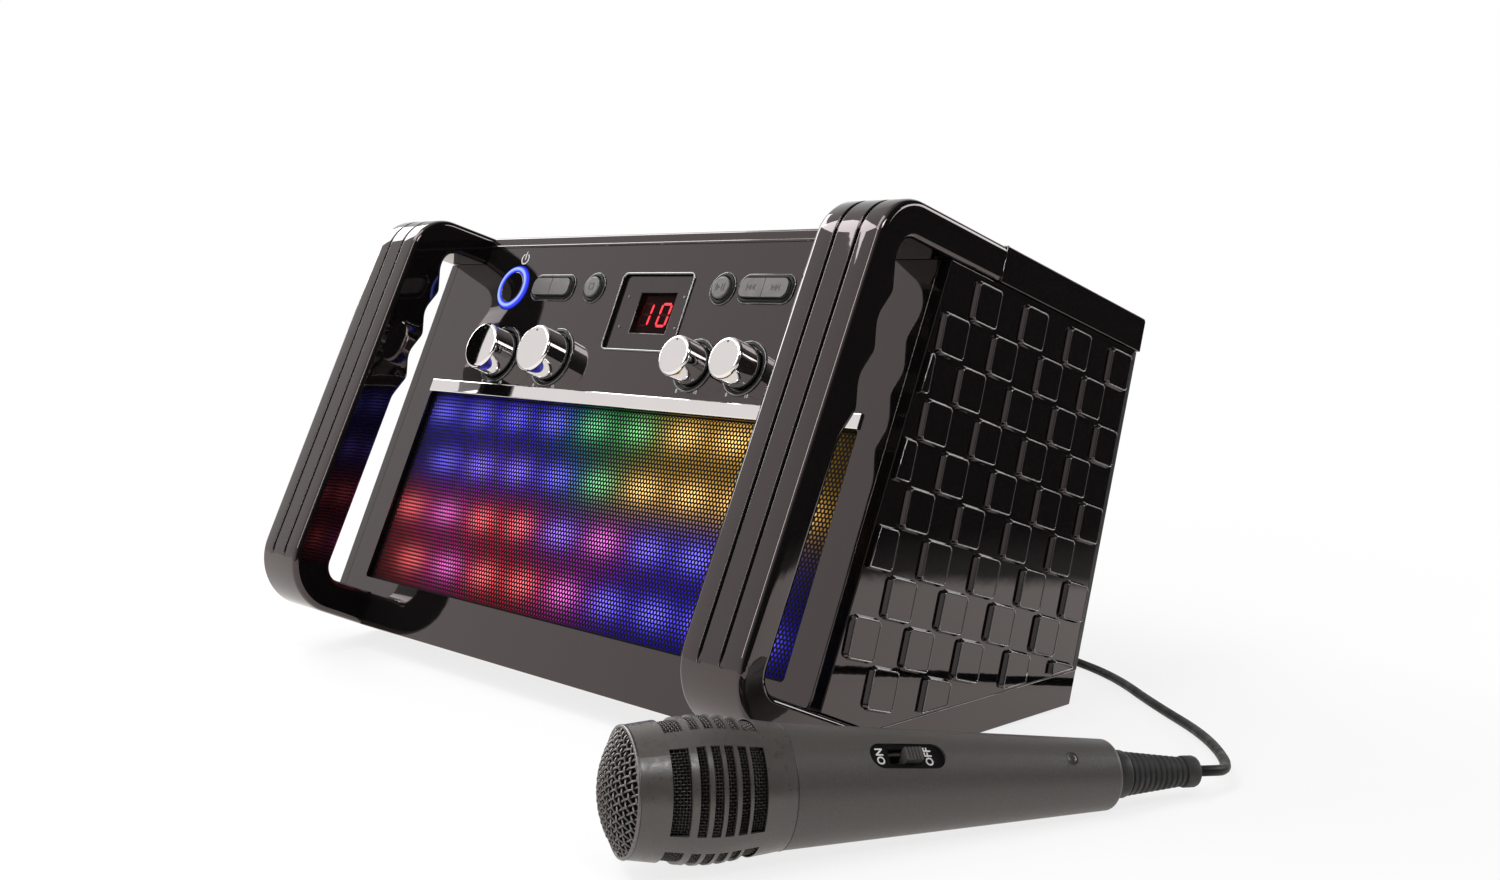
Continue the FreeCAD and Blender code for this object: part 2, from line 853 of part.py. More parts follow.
def speaker(side):
    seat = speaker_seat()
    outer = speaker_radius + speaker_flange
    skin = 1.5
    neck = magnet_radius * 0.8
    low = seat - wall - speaker_depth
    shape = lathe(
        [
            (speaker_radius, seat),
            (outer, seat),
            (outer, seat - wall),
            (speaker_radius + skin, seat - wall),
            (neck, low),
            (magnet_radius, low),
            (magnet_radius, low - magnet_height),
            (0, low - magnet_height),
            (0, low),
            (neck - 2 * skin, low),
            (speaker_radius, seat - wall),
        ]
    )
    shape.translate(Vector(side * speaker_x, speaker_s(), 0))
    return on_front(shape)


def speaker_cones():
    seat = speaker_seat()
    rim = speaker_radius - fit
    coil = magnet_radius * 0.35
    low = seat - 0.7 * speaker_depth
    paper = 0.8
    cones = []
    for side in (-1, 1):
        cone = lathe(
            [
                (rim, seat),
                (rim, seat - paper),
                (rim - 4, seat - paper),
                (coil, low - paper),
                (coil, seat - wall - speaker_depth),
                (0, seat - wall - speaker_depth),
                (0, low + coil / 2),
                (coil, low),
                (rim - 4, seat),
            ]
        )
        cone.translate(Vector(side * speaker_x, speaker_s(), 0))
        cones.append(cone)
    return on_front(group(cones))


# Controls
def pair_outline(x, grow):
    half = pair_width / 2 + grow
    tall = pair_height / 2 + grow
    return rectangle(x - half, x + half, button_row - tall, button_row + tall, pair_radius + grow)


def half_outline(x, side, grow):
    """One button of a pair, grown at its outer edges only."""
    inner = x + side * running_gap / 2
    outer = x + side * (pair_width / 2 + grow)
    tall = pair_height / 2 + grow
    radius = pair_radius + grow
    corners = [
        (outer, button_row - tall, radius),
        (outer, button_row + tall, radius),
        (inner, button_row + tall, 0),
        (inner, button_row - tall, 0),
    ]
    return corners


def button_stem(x):
    end = -board_depth + switch_height() + button_travel + running_gap
    return post(x, button_row, stem_radius, end, -wall - 2 * button_flange)


def switch_height():
    return (board_depth - wall) * 0.4


def flange_span():
    return -wall - 2 * button_flange, -wall - button_flange / 2


def pair_button(x, side):
    cap = plate(half_outline(x, side, 0), flange_span()[1], button_proud)
    flange = plate(half_outline(x, side, button_flange), *flange_span())
    return on_front(cap.fuse([flange, button_stem(x + side * pair_width / 4)]).removeSplitter())


def round_button(x, radius, proud):
    cap = lathe(
        [
            (0, flange_span()[0]),
            (radius + button_flange, flange_span()[0]),
            (radius + button_flange, flange_span()[1]),
            (radius, flange_span()[1]),
            (radius, proud, 0.8),
            (0, proud),
        ]
    )
    cap.translate(Vector(x, button_row, 0))
    return on_front(cap.fuse(button_stem(x)).removeSplitter())


def button_centres():
    pairs = [x + side * pair_width / 4 for x in (function_x, skip_x) for side in (-1, 1)]
    return [power_x, stop_x, play_x, *pairs]


def ring(x, inner, width, proud):
    return post(x, button_row, inner + width, -wall, proud).cut(
        post(x, button_row, inner, -wall, proud)
    )


def power_ring():
    return on_front(ring(power_x, power_radius + running_gap, power_ring_width, bezel_proud))


def button_bezels():
    bezels = [ring(x, round_radius + running_gap, bezel_width, bezel_proud) for x in (stop_x, play_x)]
    for x in (function_x, skip_x):
        outer = plate(pair_outline(x, running_gap + bezel_width), -wall, bezel_proud)
        inner = plate(pair_outline(x, running_gap), -wall, bezel_proud)
        bezels.append(outer.cut(inner))
    return on_front(group(bezels))


def knob(x, diameter):
    """A turned cap with a mark on its face, and its shaft as a second solid."""
    radius = diameter / 2
    seat = knob_height - knob_wall
    cap = lathe(
        [
            (shaft_radius, knob_gap),
            (radius, knob_gap),
            (radius - 0.4, knob_height, knob_bevel),
            (0, knob_height - 0.5),
            (0, seat),
            (shaft_radius, seat),
        ]
    )
    mark = block(
        -knob_mark / 2, knob_mark / 2, radius * 0.55, radius * 2, knob_height - 1.6, knob_height + 1
    )
    shaft = post(0, 0, shaft_radius, -board_depth + 2, seat)
    both = group([cap.cut(mark), shaft])
    both.translate(Vector(x, knob_row, 0))
    return on_front(both)


def potentiometers():
    pots = []
    for x, _ in KNOBS.values():
        half = pot_size / 2
        body = block(
            x - half, x + half, knob_row - half, knob_row + half, -board_depth, -board_depth + pot_height
        )
        bush = post(x, knob_row, shaft_radius + 1.5, -board_depth, -wall - running_gap)
        bore = post(x, knob_row, shaft_radius + shaft_gap, -board_depth + 1.5, 0)
        pots.append(body.fuse(bush).cut(bore))
    return on_front(group(pots))


def control_board():
    half = board_width / 2
    board = block(-half, half, board_bottom, board_top, -board_depth - board_thickness, -board_depth)
    size = switch_size / 2
    low = button_row - size
    high = button_row + size
    top = -board_depth + switch_height()
    switches = [block(x - size, x + size, low, high, -board_depth, top) for x in button_centres()]
    return on_front(group([board, *switches]))


def display_s():
    return window_bottom + window_height / 2


def display_outline():
    half = display_width / 2
    tall = display_height / 2
    return rectangle(display_x - half, display_x + half, display_s() - tall, display_s() + tall)


def display_window():
    """The bezel that fills the panel's window, with a lip behind the panel and the digits' opening."""
    face = plate(window_outline(-fit), -wall, -wall * 0.4)
    lip = plate(window_outline(button_flange * 1.5), -wall * 1.7, -wall)
    return on_front(face.fuse(lip).cut(plate(display_outline(), -2 * wall, 0)))


def display_module():
    body = plate(display_outline(), -board_depth, -wall * 1.2)
    return on_front(body)


# Disc player
def barrel_radius():
    return cover_thickness / 2


def hinge_u():
    return -lid_rear - barrel_radius()


def lid_front_u():
    return -cover_depth + lid_front + lid_gap


def disc_u():
    return (lid_front_u() + hinge_u() + barrel_radius()) / 2


def disc_lid():
    half = lid_width / 2
    lid = plate(
        [
            (-half, lid_front_u(), lid_corner),
            (half, lid_front_u(), lid_corner),
            (half, hinge_u(), 0),
            (-half, hinge_u(), 0),
        ],
        -cover_thickness,
        0,
    )
    barrel = lying_post(-half, half, hinge_u(), -barrel_radius(), barrel_radius())
    bore = lying_post(-half, half, hinge_u(), -barrel_radius(), hinge_pin_radius + shaft_gap)
    pull = Part.makeCylinder(14, 2, Vector(0, lid_front_u() - 4, -1.2))
    return in_box(lid.fuse(barrel).cut([bore, pull]))


def lid_hinge_pin():
    reach = lid_width / 2 + hinge_pin_seat
    return in_box(lying_post(-reach, reach, hinge_u(), -barrel_radius(), hinge_pin_radius))


def well_floor():
    return -cover_thickness - well_depth


def well_under():
    return well_floor() - well_wall


def carriage_v():
    """Middle height of the rails, the lead screw and the sled."""
    return well_under() - sled_drop - sled_height / 2


def carriage_span():
    """Where the rails' two lugs begin, from the disc's centre."""
    near = motor_radius + 1
    far = sled_start + sled_travel + sled_length / 2 + 1.5
    return near, far


def carriage_plate():
    """A strip in the well's floor that carries the lugs, past the well's round wall."""
    u = disc_u()
    low = u - screw_offset - 2 * rail_radius
    high = u + rail_spacing / 2 + 2 * rail_radius
    return block(0, carriage_span()[1] + lug_thickness, low, high, well_under(), well_floor())


def disc_well():
    """A round well under the lid, with a flange to the top cover and lugs for the pick-up's rails."""
    u = disc_u()
    outer = well_radius + well_wall
    flange_half = lid_width / 2 + hinge_pin_seat + 2
    flange_back = hinge_u() + barrel_radius() + 4
    flange_front = lid_front_u()
    under = -cover_thickness
    flange = block(-flange_half, flange_half, flange_front, flange_back, under - 2 * well_wall, under)
    bowl = post(0, u, outer, well_under(), under)
    reach = max(abs(flange_front), outer - u)
    front_limit = block(-outer, outer, -2 * reach, flange_front, well_under(), under)
    shape = flange.fuse(bowl).cut(front_limit)
    half = lid_width / 2 + 2 * lid_gap
    seat_back = hinge_u() + barrel_radius() + 2 * lid_gap
    seat = block(-half, half, flange_front, seat_back, under - running_gap, under)
    hollow = post(0, u, well_radius, well_floor(), under)
    spindle = post(0, u, spindle_radius + 1, well_under(), well_floor())
    slot_half = lens_radius + 1
    slot_end = sled_start + sled_travel + slot_half
    slot = block(
        sled_start - slot_half, slot_end, u - slot_half, u + slot_half, well_under(), well_floor()
    )
    shape = shape.cut([seat, hollow])
    lugs = [carriage_plate()]
    for x in carriage_span():
        lug = block(
            x,
            x + lug_thickness,
            u - screw_offset - 2 * rail_radius,
            u + rail_spacing / 2 + 2 * rail_radius,
            carriage_v() - 2 * rail_radius,
            well_under(),
        )
        lugs.append(lug)
    shape = shape.fuse(lugs).cut([spindle, slot])
    x0, x1 = carriage_span()[0], carriage_span()[1] + lug_thickness
    bores = [lying_post(x0, x1, u + offset, carriage_v(), rail_radius) for offset in rail_offsets()]
    bores.append(lying_post(x0, x1, u - screw_offset, carriage_v(), rail_radius + shaft_gap))
    return in_box(shape.cut(bores).removeSplitter())


def rail_offsets():
    return -rail_spacing / 2, rail_spacing / 2


def turntable():
    table_v = well_floor() + 2 * running_gap
    top = table_v + table_height
    shape = lathe(
        [
            (0, well_floor() - spindle_length),
            (spindle_radius, well_floor() - spindle_length),
            (spindle_radius, table_v),
            (table_radius, table_v),
            (table_radius, top),
            (hub_radius, top),
            (hub_radius - 0.4, top + hub_height, 0.8),
            (0, top + hub_height),
        ]
    )
    shape.translate(Vector(0, disc_u(), 0))
    return in_box(shape)


def spindle_motor():
    body = post(0, disc_u(), motor_radius, well_under() - motor_height, well_under())
    bore = post(0, disc_u(), spindle_radius + shaft_gap, well_under() - spindle_length, well_under())
    return in_box(body.cut(bore))


def pickup_sled():
    u = disc_u()
    v = carriage_v()
    x0 = sled_start - sled_length / 2
    x1 = x0 + sled_length
    tall = sled_height / 2
    body = block(x0, x1, u - screw_offset - 2 * rail_radius, u + sled_width / 2, v - tall, v + tall)
    lens = post(sled_start, u, lens_radius, v + tall, well_floor() - running_gap)
    bores = [
        lying_post(x0, x1, u + offset, v, rail_radius + shaft_gap)
        for offset in (*rail_offsets(), -screw_offset)
    ]
    return in_box(body.fuse(lens).cut(bores))


def sled_rails():
    x0, x1 = carriage_span()[0], carriage_span()[1] + lug_thickness
    return in_box(
        group([lying_post(x0, x1, disc_u() + o, carriage_v(), rail_radius) for o in rail_offsets()])
    )


def sled_screw():
    x0, x1 = carriage_span()[0], carriage_span()[1] + lug_thickness
    return in_box(lying_post(x0, x1, disc_u() - screw_offset, carriage_v(), rail_radius))


# Electronics and sockets
def main_board_stands():
    half_x = main_board_size[0] / 2 - 2 * board_post_radius
    half_y = main_board_size[1] / 2 - 2 * board_post_radius
    return [
        (main_board_x + side * half_x, main_board_y + end * half_y)
        for side in (-1, 1)
        for end in (-1, 1)
    ]


def main_board():
    half_x = main_board_size[0] / 2
    half_y = main_board_size[1] / 2
    low = foot_height + wall + main_board_stand
    top = low + board_thickness
    x, y = main_board_x, main_board_y
    board = block(x - half_x, x + half_x, y - half_y, y + half_y, low, top)
    chip = standing_block(x, y, top, chip_size)
    heat_sink = standing_block(x + heat_sink_x, y, top, heat_sink_size)
    first = x - half_x / 2
    row = y + half_y / 2
    capacitors = [
        post(first + i * capacitor_pitch, row, capacitor_radius, top, top + capacitor_height)
        for i in range(capacitor_count)
    ]
    return group([board, chip, heat_sink, *capacitors])


def power_supply():
    width, depth, height = supply_size
    low = foot_height + wall
    x, y = supply_x, supply_y
    core = standing_block(x, y, low, supply_size)
    front = y - depth / 2 - 8
    back = y + depth / 2 + 8
    winding = block(x - width / 3, x + width / 3, front, back, low + height * 0.2, low + height * 0.8)
    return core.fuse(winding)


def jack_face():
    return wall + socket_proud


def mic_jacks():
    half = mic_jack_body / 2
    jacks = []
    for x in mic_jack_x:
        body = block(x - half, x + half, -mic_jack_depth, 0, jack_v - half, jack_v + half)
        bush = deep_post(x, jack_v, mic_jack_bush, 0, jack_face())
        nut = deep_post(x, jack_v, mic_jack_bush + 2.3, wall, jack_face())
        bore = deep_post(x, jack_v, mic_jack_bore, 1 - mic_jack_depth, jack_face())
        jacks.append(body.fuse([bush, nut]).cut(bore))
    return in_box(group(jacks))


def av_jacks():
    jacks = []
    for x in av_jack_x:
        shape = deep_post(x, jack_v, av_radius, -av_length, jack_face() + av_length)
        collar = deep_post(x, jack_v, av_radius + 2, wall, jack_face())
        bore = deep_post(x, jack_v, av_bore, jack_face(), jack_face() + av_length)
        jacks.append(shape.fuse(collar).cut(bore))
    return in_box(group(jacks))


def power_inlet():
    body = inlet_block(inlet_width, inlet_height, wall - inlet_depth, wall)
    flange = inlet_block(inlet_width + 4, inlet_height + 4, wall, jack_face())
    mouth = inlet_block(inlet_width - 4, inlet_height - 4, wall + 2 - inlet_depth, jack_face())
    pins = [deep_post(inlet_x + side * 4.3, jack_v, 1.2, wall + 2 - inlet_depth, 0) for side in (-1, 1)]
    return in_box(body.fuse(flange).cut(mouth).fuse(pins))


def tablet_cradle():
    """A channel along the upper rear edge, where a tablet stands and leans."""
    ledge = cradle_ledge_v
    lean = math.tan(math.radians(cradle_lip_lean))
    lip_top = ledge + cradle_lip
    corners = [
        (0, ledge - cradle_plate, 0),
        (0, ledge, 0),
        (cradle_slot, ledge, 1),
        (cradle_slot + cradle_lip * lean, lip_top, 0.6),
        (cradle_slot + wall + cradle_lip * lean, lip_top, 1),
        (cradle_slot + wall, ledge - wall, 4),
        (wall, ledge - wall, 3),
        (wall, ledge - cradle_plate, 0.6),
    ]
    half = cradle_width / 2
    corners = [(wall + u, v, radius) for u, v, radius in corners]
    return in_box(side_plate(corners, -half, half))


def case_screws():
    screws = []
    for x, v in case_screw_places():
        top = wall + 1.8
        shank = deep_post(x, v, case_screw_radius, -case_screw_length, wall)
        head = deep_post(x, v, case_screw_head, wall, top)
        slot = block(x - 0.4, x + 0.4, top - 0.8, top, v - 2, v + 2)
        cross = block(x - 2, x + 2, top - 0.8, top, v - 0.4, v + 0.4)
        screws.append(shank.fuse(head).cut([slot, cross]))
    return in_box(group(screws))


# Microphone
def mic_frame():
    """Local Z along the microphone, local X out of its switch."""
    drop = math.atan((mic_widest_radius - mic_tail_radius) / (mic_tail_at - mic_widest_at))
    height = mic_widest_radius * math.cos(drop) + mic_widest_at * math.sin(drop)
    heading = math.radians(mic_heading)
    along = Vector(
        math.cos(heading) * math.cos(drop), math.sin(heading) * math.cos(drop), -math.sin(drop)
    )
    side = Vector(math.sin(heading), -math.cos(heading), 0)
    up = side.cross(along)
    roll = math.radians(mic_roll)
    out = side * math.cos(roll) + up * math.sin(roll)
    turn = Rotation(out, along.cross(out), along, "ZXY")
    return Placement(Vector(mic_tip_x, mic_tip_y, height), turn)


MIC = mic_frame()


def on_mic(shape):
    return placed(MIC, shape)


def mic_outer(z):
    """Outer radius of the microphone's handle."""
    share = (z - mic_neck_at) / (mic_tail_at - mic_neck_at)
    return mic_neck_radius + (mic_tail_radius - mic_neck_radius) * share


def mic_head():
    inner = mic_wall
    rear_wide = mic_slots[-1][1]
    shape = lathe(
        [
            (mic_rim_radius, mic_rim_at),
            (mic_widest_radius, mic_widest_at, 60),
            (mic_neck_radius, mic_neck_at),
            (mic_neck_radius - 2 * inner, mic_neck_at),
            (mic_widest_radius - inner, rear_wide, 4),
            (mic_widest_radius - inner, mic_slots[0][0], 4),
            (mic_rim_radius - inner, mic_rim_at),
        ]
    )
    cuts = []
    for z0, z1 in mic_slots:
        for i in range(mic_slot_groups):
            turn = i * 360 / mic_slot_groups - mic_slot_arc / 2 + mic_roll - mic_slot_roll
            base = Vector(0, 0, z0)
            reach = 2 * mic_widest_radius
            wedge = Part.makeCylinder(reach, z1 - z0, base, Vector(0, 0, 1), mic_slot_arc)
            wedge.rotate(Vector(0, 0, 0), Vector(0, 0, 1), turn)
            cuts.append(wedge)
    core = post(0, 0, mic_widest_radius - 2 * inner, mic_rim_at, mic_neck_at)
    return on_mic(shape.cut([wedge.cut(core) for wedge in cuts]))


def mic_grille():
    """A shallow dome of wire mesh that closes the head's front rim."""

    def dome(rim, rim_at, tip_at):
        rise = rim_at - tip_at
        radius = (rim**2 + rise**2) / (2 * rise)
        middle = tip_at + radius
        half = math.asin(rim / radius) / 2
        arc_point = Vector(radius * math.sin(half), 0, middle - radius * math.cos(half))
        return Vector(0, 0, tip_at), arc_point, Vector(rim, 0, rim_at)

    outer = dome(mic_rim_radius, mic_rim_at, 0)
    inner = dome(mic_rim_radius - mic_mesh, mic_rim_at, mic_mesh)
    wire = Part.Wire(
        [
            Part.Arc(*outer).toShape(),
            Part.LineSegment(outer[2], inner[2]).toShape(),
            Part.Arc(*reversed(inner)).toShape(),
            Part.LineSegment(inner[0], outer[0]).toShape(),
        ]
    )
    return on_mic(Part.Face(wire).revolve(Vector(0, 0, 0), Vector(0, 0, 1), 360))


def mic_capsule():
    """The pick-up capsule on a carrier disc, with a stem that stands on the handle's front face."""
    start = mic_slots[0][0]
    carrier = mic_slots[-1][1]
    edge = mic_widest_radius - mic_wall - 4 * fit
    shape = lathe(
        [
            (0, start),
            (mic_bore, start, 1),
            (mic_bore, carrier - mic_wall),
            (edge - 4, carrier - mic_wall),
            (edge - 4, carrier),
            (0, carrier),
        ]
    )
    shape = shape.fuse(post(0, 0, mic_bore + mic_wall, carrier, mic_neck_at))
    return on_mic(shape)


def mic_body():
    shape = lathe(
        [
            (mic_bore, mic_neck_at),
            (mic_neck_radius, mic_neck_at),
            (mic_tail_radius, mic_tail_at, 2),
            (boot_collar_radius - 2, mic_tail_at),
            (boot_collar_radius - 2, mic_tail_at - 2 * mic_wall),
            (mic_bore, mic_tail_at - 2 * mic_wall),
        ]
    )
    half = mic_plate_width / 2
    floor = mic_plate_floor()
    pocket = rounded_wire(
        rectangle(-half, half, mic_plate_from, mic_plate_to, half - 0.01), lambda a, b: Vector(floor, a, b)
    )
    pocket = Part.Face(pocket).extrude(Vector(mic_neck_radius, 0, 0))
    travel_end = mic_switch_at - mic_switch_travel - running_gap
    slot_half = mic_switch_width / 4 + running_gap
    rest_end = mic_switch_at + mic_switch_length + running_gap
    slot = block(0, floor, -slot_half, slot_half, travel_end, rest_end)
    return on_mic(shape.cut([pocket, slot]))


def mic_plate_floor():
    """Distance of the switch recess's floor from the axis."""
    return mic_outer(mic_plate_to) - mic_plate_depth


def mic_switch():
    floor = mic_plate_floor() + running_gap
    half = mic_switch_width / 2
    z0 = mic_switch_at
    z1 = z0 + mic_switch_length
    top = floor + 2 * mic_plate_depth
    pitch = mic_switch_length / 5
    thumb = block(floor, top, -half, half, z0, z1)
    ridges = [
        block(top - 0.6, top, -half, half, z0 + (i + 0.7) * pitch, z0 + (i + 1.2) * pitch)
        for i in range(4)
    ]
    stem = block(mic_bore - 2, floor, -half / 2, half / 2, z0, z1)
    return on_mic(thumb.cut(ridges).fuse(stem))


def mic_boot():
    """The ribbed strain relief at the tail."""
    corners = [
        (0, mic_tail_at - 2 * mic_wall),
        (boot_collar_radius - 2, mic_tail_at - 2 * mic_wall),
        (boot_collar_radius - 2, mic_tail_at),
        (boot_collar_radius, mic_tail_at),
        (boot_collar_radius - 0.3, boot_ribs_at),
    ]
    pitch = (boot_flange_at - boot_ribs_at) / boot_ribs
    for i in range(boot_ribs):
        share = i / (boot_ribs - 1)
        radius = boot_start_radius + (boot_end_radius - boot_start_radius) * share
        z = boot_ribs_at + i * pitch
        corners += [
            (radius - boot_rib_depth, z),
            (radius - boot_rib_depth, z + pitch * 0.4),
            (radius, z + pitch * 0.5),
            (radius, z + pitch * 0.9),
        ]
    corners += [
        (boot_end_radius - boot_rib_depth, boot_flange_at),
        (boot_end_radius + 0.4, boot_flange_at + 0.4),
        (boot_end_radius + 0.4, boot_end_at, 1.2),
        (0, boot_end_at),
    ]
    return on_mic(lathe(corners))


# Cord
def plug_end():
    reach = jack_face() + plug_body_length + plug_relief_length
    return BOX.multVec(Vector(mic_jack_x[0], reach, jack_v))


def round_section(at, along):
    return Part.Wire(Part.makeCircle(cord_diameter / 2, at, along))


def tube(points, name):
    """A round cord on straight runs joined by tangent arcs, each as large as its runs allow."""
    edges = []
    here = points[0]
    radii = []
    for before, corner, after in zip(points, points[1:], points[2:]):
        back = before - corner
        ahead = after - corner
        reach = 0.45 * min(back.Length, ahead.Length)
        turn = math.pi - back.getAngle(ahead)
        radius = reach / math.tan(turn / 2)
        radii.append(radius)
        start = corner + back.normalize() * reach
        end = corner + ahead.normalize() * reach
        inward = (back + ahead).normalize()
        middle = corner + inward * (radius / math.cos(turn / 2) - radius)
        edges.append(Part.LineSegment(here, start).toShape())
        edges.append(Part.Arc(start, middle, end).toShape())
        here = end
    edges.append(Part.LineSegment(here, points[-1]).toShape())
    path = Part.Wire(edges)
    shape = path.makePipeShell([round_section(points[0], points[1] - points[0])], True, False)
    expected = path.Length * math.pi * cord_diameter**2 / 4
    print(f"{name}: length {path.Length:.1f}, least radius {min(radii):.1f}, volume / section x length "
          f"{shape.Volume / expected:.4f}")
    return shape


def coil_point(turns):
    """A point of the coil's middle line and its heading, after so many turns from its start."""
    layer_turns = coil_layer_turns
    step = cord_diameter + cord_gap
    climb = 0.5
    layer = min(int(turns // layer_turns), coil_layers - 1)
    within = turns - layer * layer_turns
    inward = layer % 2 == 0
    depth = within if inward else layer_turns - within
    radius = coil_outer - step * depth
    rise = 0.0
    if layer > 0:
        rise = min(1.0, max(0.0, 0.5 + within / climb)) if within < climb / 2 else 1.0
    ahead = layer_turns - within
    if layer < coil_layers - 1 and ahead < climb / 2:
        rise_next = 0.5 - ahead / climb
    else:
        rise_next = 0.0
    height = coil_base + step * (max(layer - 1, 0) + (rise if layer else 0) + rise_next)
    angle = math.pi / 2 + 2 * math.pi * turns
    return Vector(coil_x + radius * math.cos(angle), coil_y + radius * math.sin(angle), height)


def coil_heading(turns):
    small = 0.002
    total = coil_layers * coil_layer_turns
    before = coil_point(max(turns - small, 0))
    after = coil_point(min(turns + small, total))
    return (after - before).normalize()


def biarc(start, start_along, end, end_along):
    """Two arcs that leave start along one heading and reach end along another."""
    chord = end - start
    mixed = start_along + end_along
    a = 2 - 2 * start_along.dot(end_along)
    b = 2 * chord.dot(mixed)
    c = -chord.dot(chord)
    reach = (-b + math.sqrt(b * b - 4 * a * c)) / (2 * a) if a > 1e-9 else -c / b
    first = start + start_along * reach
    second = end - end_along * reach
    joint = (first + second) * 0.5
    return [arc_through(start, first, joint), arc_through(joint, second, end)]


def arc_through(start, corner, end):
    """The arc that touches start to corner and corner to end."""
    back = (start - corner).normalize()
    ahead = (end - corner).normalize()
    half = back.getAngle(ahead) / 2
    reach = start.distanceToPoint(corner)
    radius = reach * math.tan(half)
    inward = (back + ahead).normalize()
    middle = corner + inward * (radius / math.sin(half) - radius)
    return Part.Arc(start, middle, end).toShape()


def coil_ends():
    total = coil_layers * coil_layer_turns
    start = coil_point(0) - Vector(-cord_diameter, 0, 0)
    end = coil_point(total) + Vector(-cord_diameter, 0, 0)
    return start, end


def mic_cord_coil():
    total = coil_layers * coil_layer_turns
    quarters = int(round(total * 4))
    flat = Vector(-1, 0, 0)
    edges = []
    start, end = coil_ends()
    edges.append(Part.LineSegment(start, coil_point(0)).toShape())
    for i in range(quarters):
        a, b = i / 4, (i + 1) / 4
        along_a = flat if i == 0 else coil_heading(a)
        along_b = flat if i == quarters - 1 else coil_heading(b)
        edges += biarc(coil_point(a), along_a, coil_point(b), along_b)
    edges.append(Part.LineSegment(coil_point(total), end).toShape())
    path = Part.Wire(edges)
    shape = path.makePipeShell([round_section(start, flat)], True, False)
    expected = path.Length * math.pi * cord_diameter**2 / 4
    samples = [coil_point(total * i / 1200) for i in range(1201)]
    apart = 1200 / total * 0.5
    least = min(
        a.distanceToPoint(b)
        for i, a in enumerate(samples)
        for b in samples[i + int(apart):]
    )
    print(f"mic_cord_coil: length {path.Length:.1f}, least gap {least - cord_diameter:.2f}, "
          f"volume / section x length {shape.Volume / expected:.4f}")
    return shape


def mic_cord():
    start = MIC.multVec(Vector(0, 0, boot_end_at))
    straight = MIC.multVec(Vector(0, 0, boot_end_at + boot_straight))
    end = coil_ends()[0]
    points = [start, straight, *(Vector(*p) for p in CORD_ROUTE)]
    points += [end + Vector(2 * cord_straight, 0, 0), end]
    return tube(points, "mic_cord")


def mic_cord_lead():
    end = coil_ends()[1]
    back = (plug_end() - BOX.multVec(Vector(mic_jack_x[0], 0, jack_v))).normalize()
    points = [end, end + Vector(-cord_straight, 0, 0), *(Vector(*p) for p in LEAD_ROUTE)]
    points += [plug_end() + back * cord_straight, plug_end()]
    return tube(points, "mic_cord_lead")


def cord_tie():
    """A flat strap round the coil's section."""
    step = cord_diameter + cord_gap
    half = cord_diameter / 2 + fit * 2
    r0 = coil_outer - coil_layer_turns * step - half
    r1 = coil_outer + half
    z0 = coil_base - half
    z1 = coil_base + (coil_layers - 1) * step + half
    t = tie_thickness
    outer = plate(rectangle(r0 - t, r1 + t, z0 - t, z1 + t, half), 0, tie_width)
    inner = plate(rectangle(r0, r1, z0, z1, half - t), 0, tie_width)
    strap = outer.cut(inner)
    strap.rotate(Vector(0, 0, 0), Vector(1, 0, 0), 90)
    strap.translate(Vector(0, tie_width / 2, 0))
    strap.rotate(Vector(0, 0, 0), Vector(0, 0, 1), tie_angle)
    strap.translate(Vector(coil_x, coil_y, 0))
    return strap


def mic_plug():
    """A plug in the first microphone socket, with its strain relief."""
    face = jack_face()
    shape = lathe(
        [
            (0, face - plug_tip),
            (1.2, face - plug_tip),
            (plug_shaft_radius, face - plug_tip + 2.5),
            (plug_shaft_radius, face),
            (plug_body_radius, face, 0.6),
            (plug_body_radius - 0.6, face + plug_body_length, 0.8),
            (plug_relief_radius, face + plug_body_length),
            (cord_diameter / 2 + 0.6, face + plug_body_length + plug_relief_length, 0.4),
            (0, face + plug_body_length + plug_relief_length),
        ]
    )
    shape.rotate(Vector(0, 0, 0), Vector(1, 0, 0), -90)
    shape.translate(Vector(mic_jack_x[0], 0, jack_v))
    return in_box(shape)


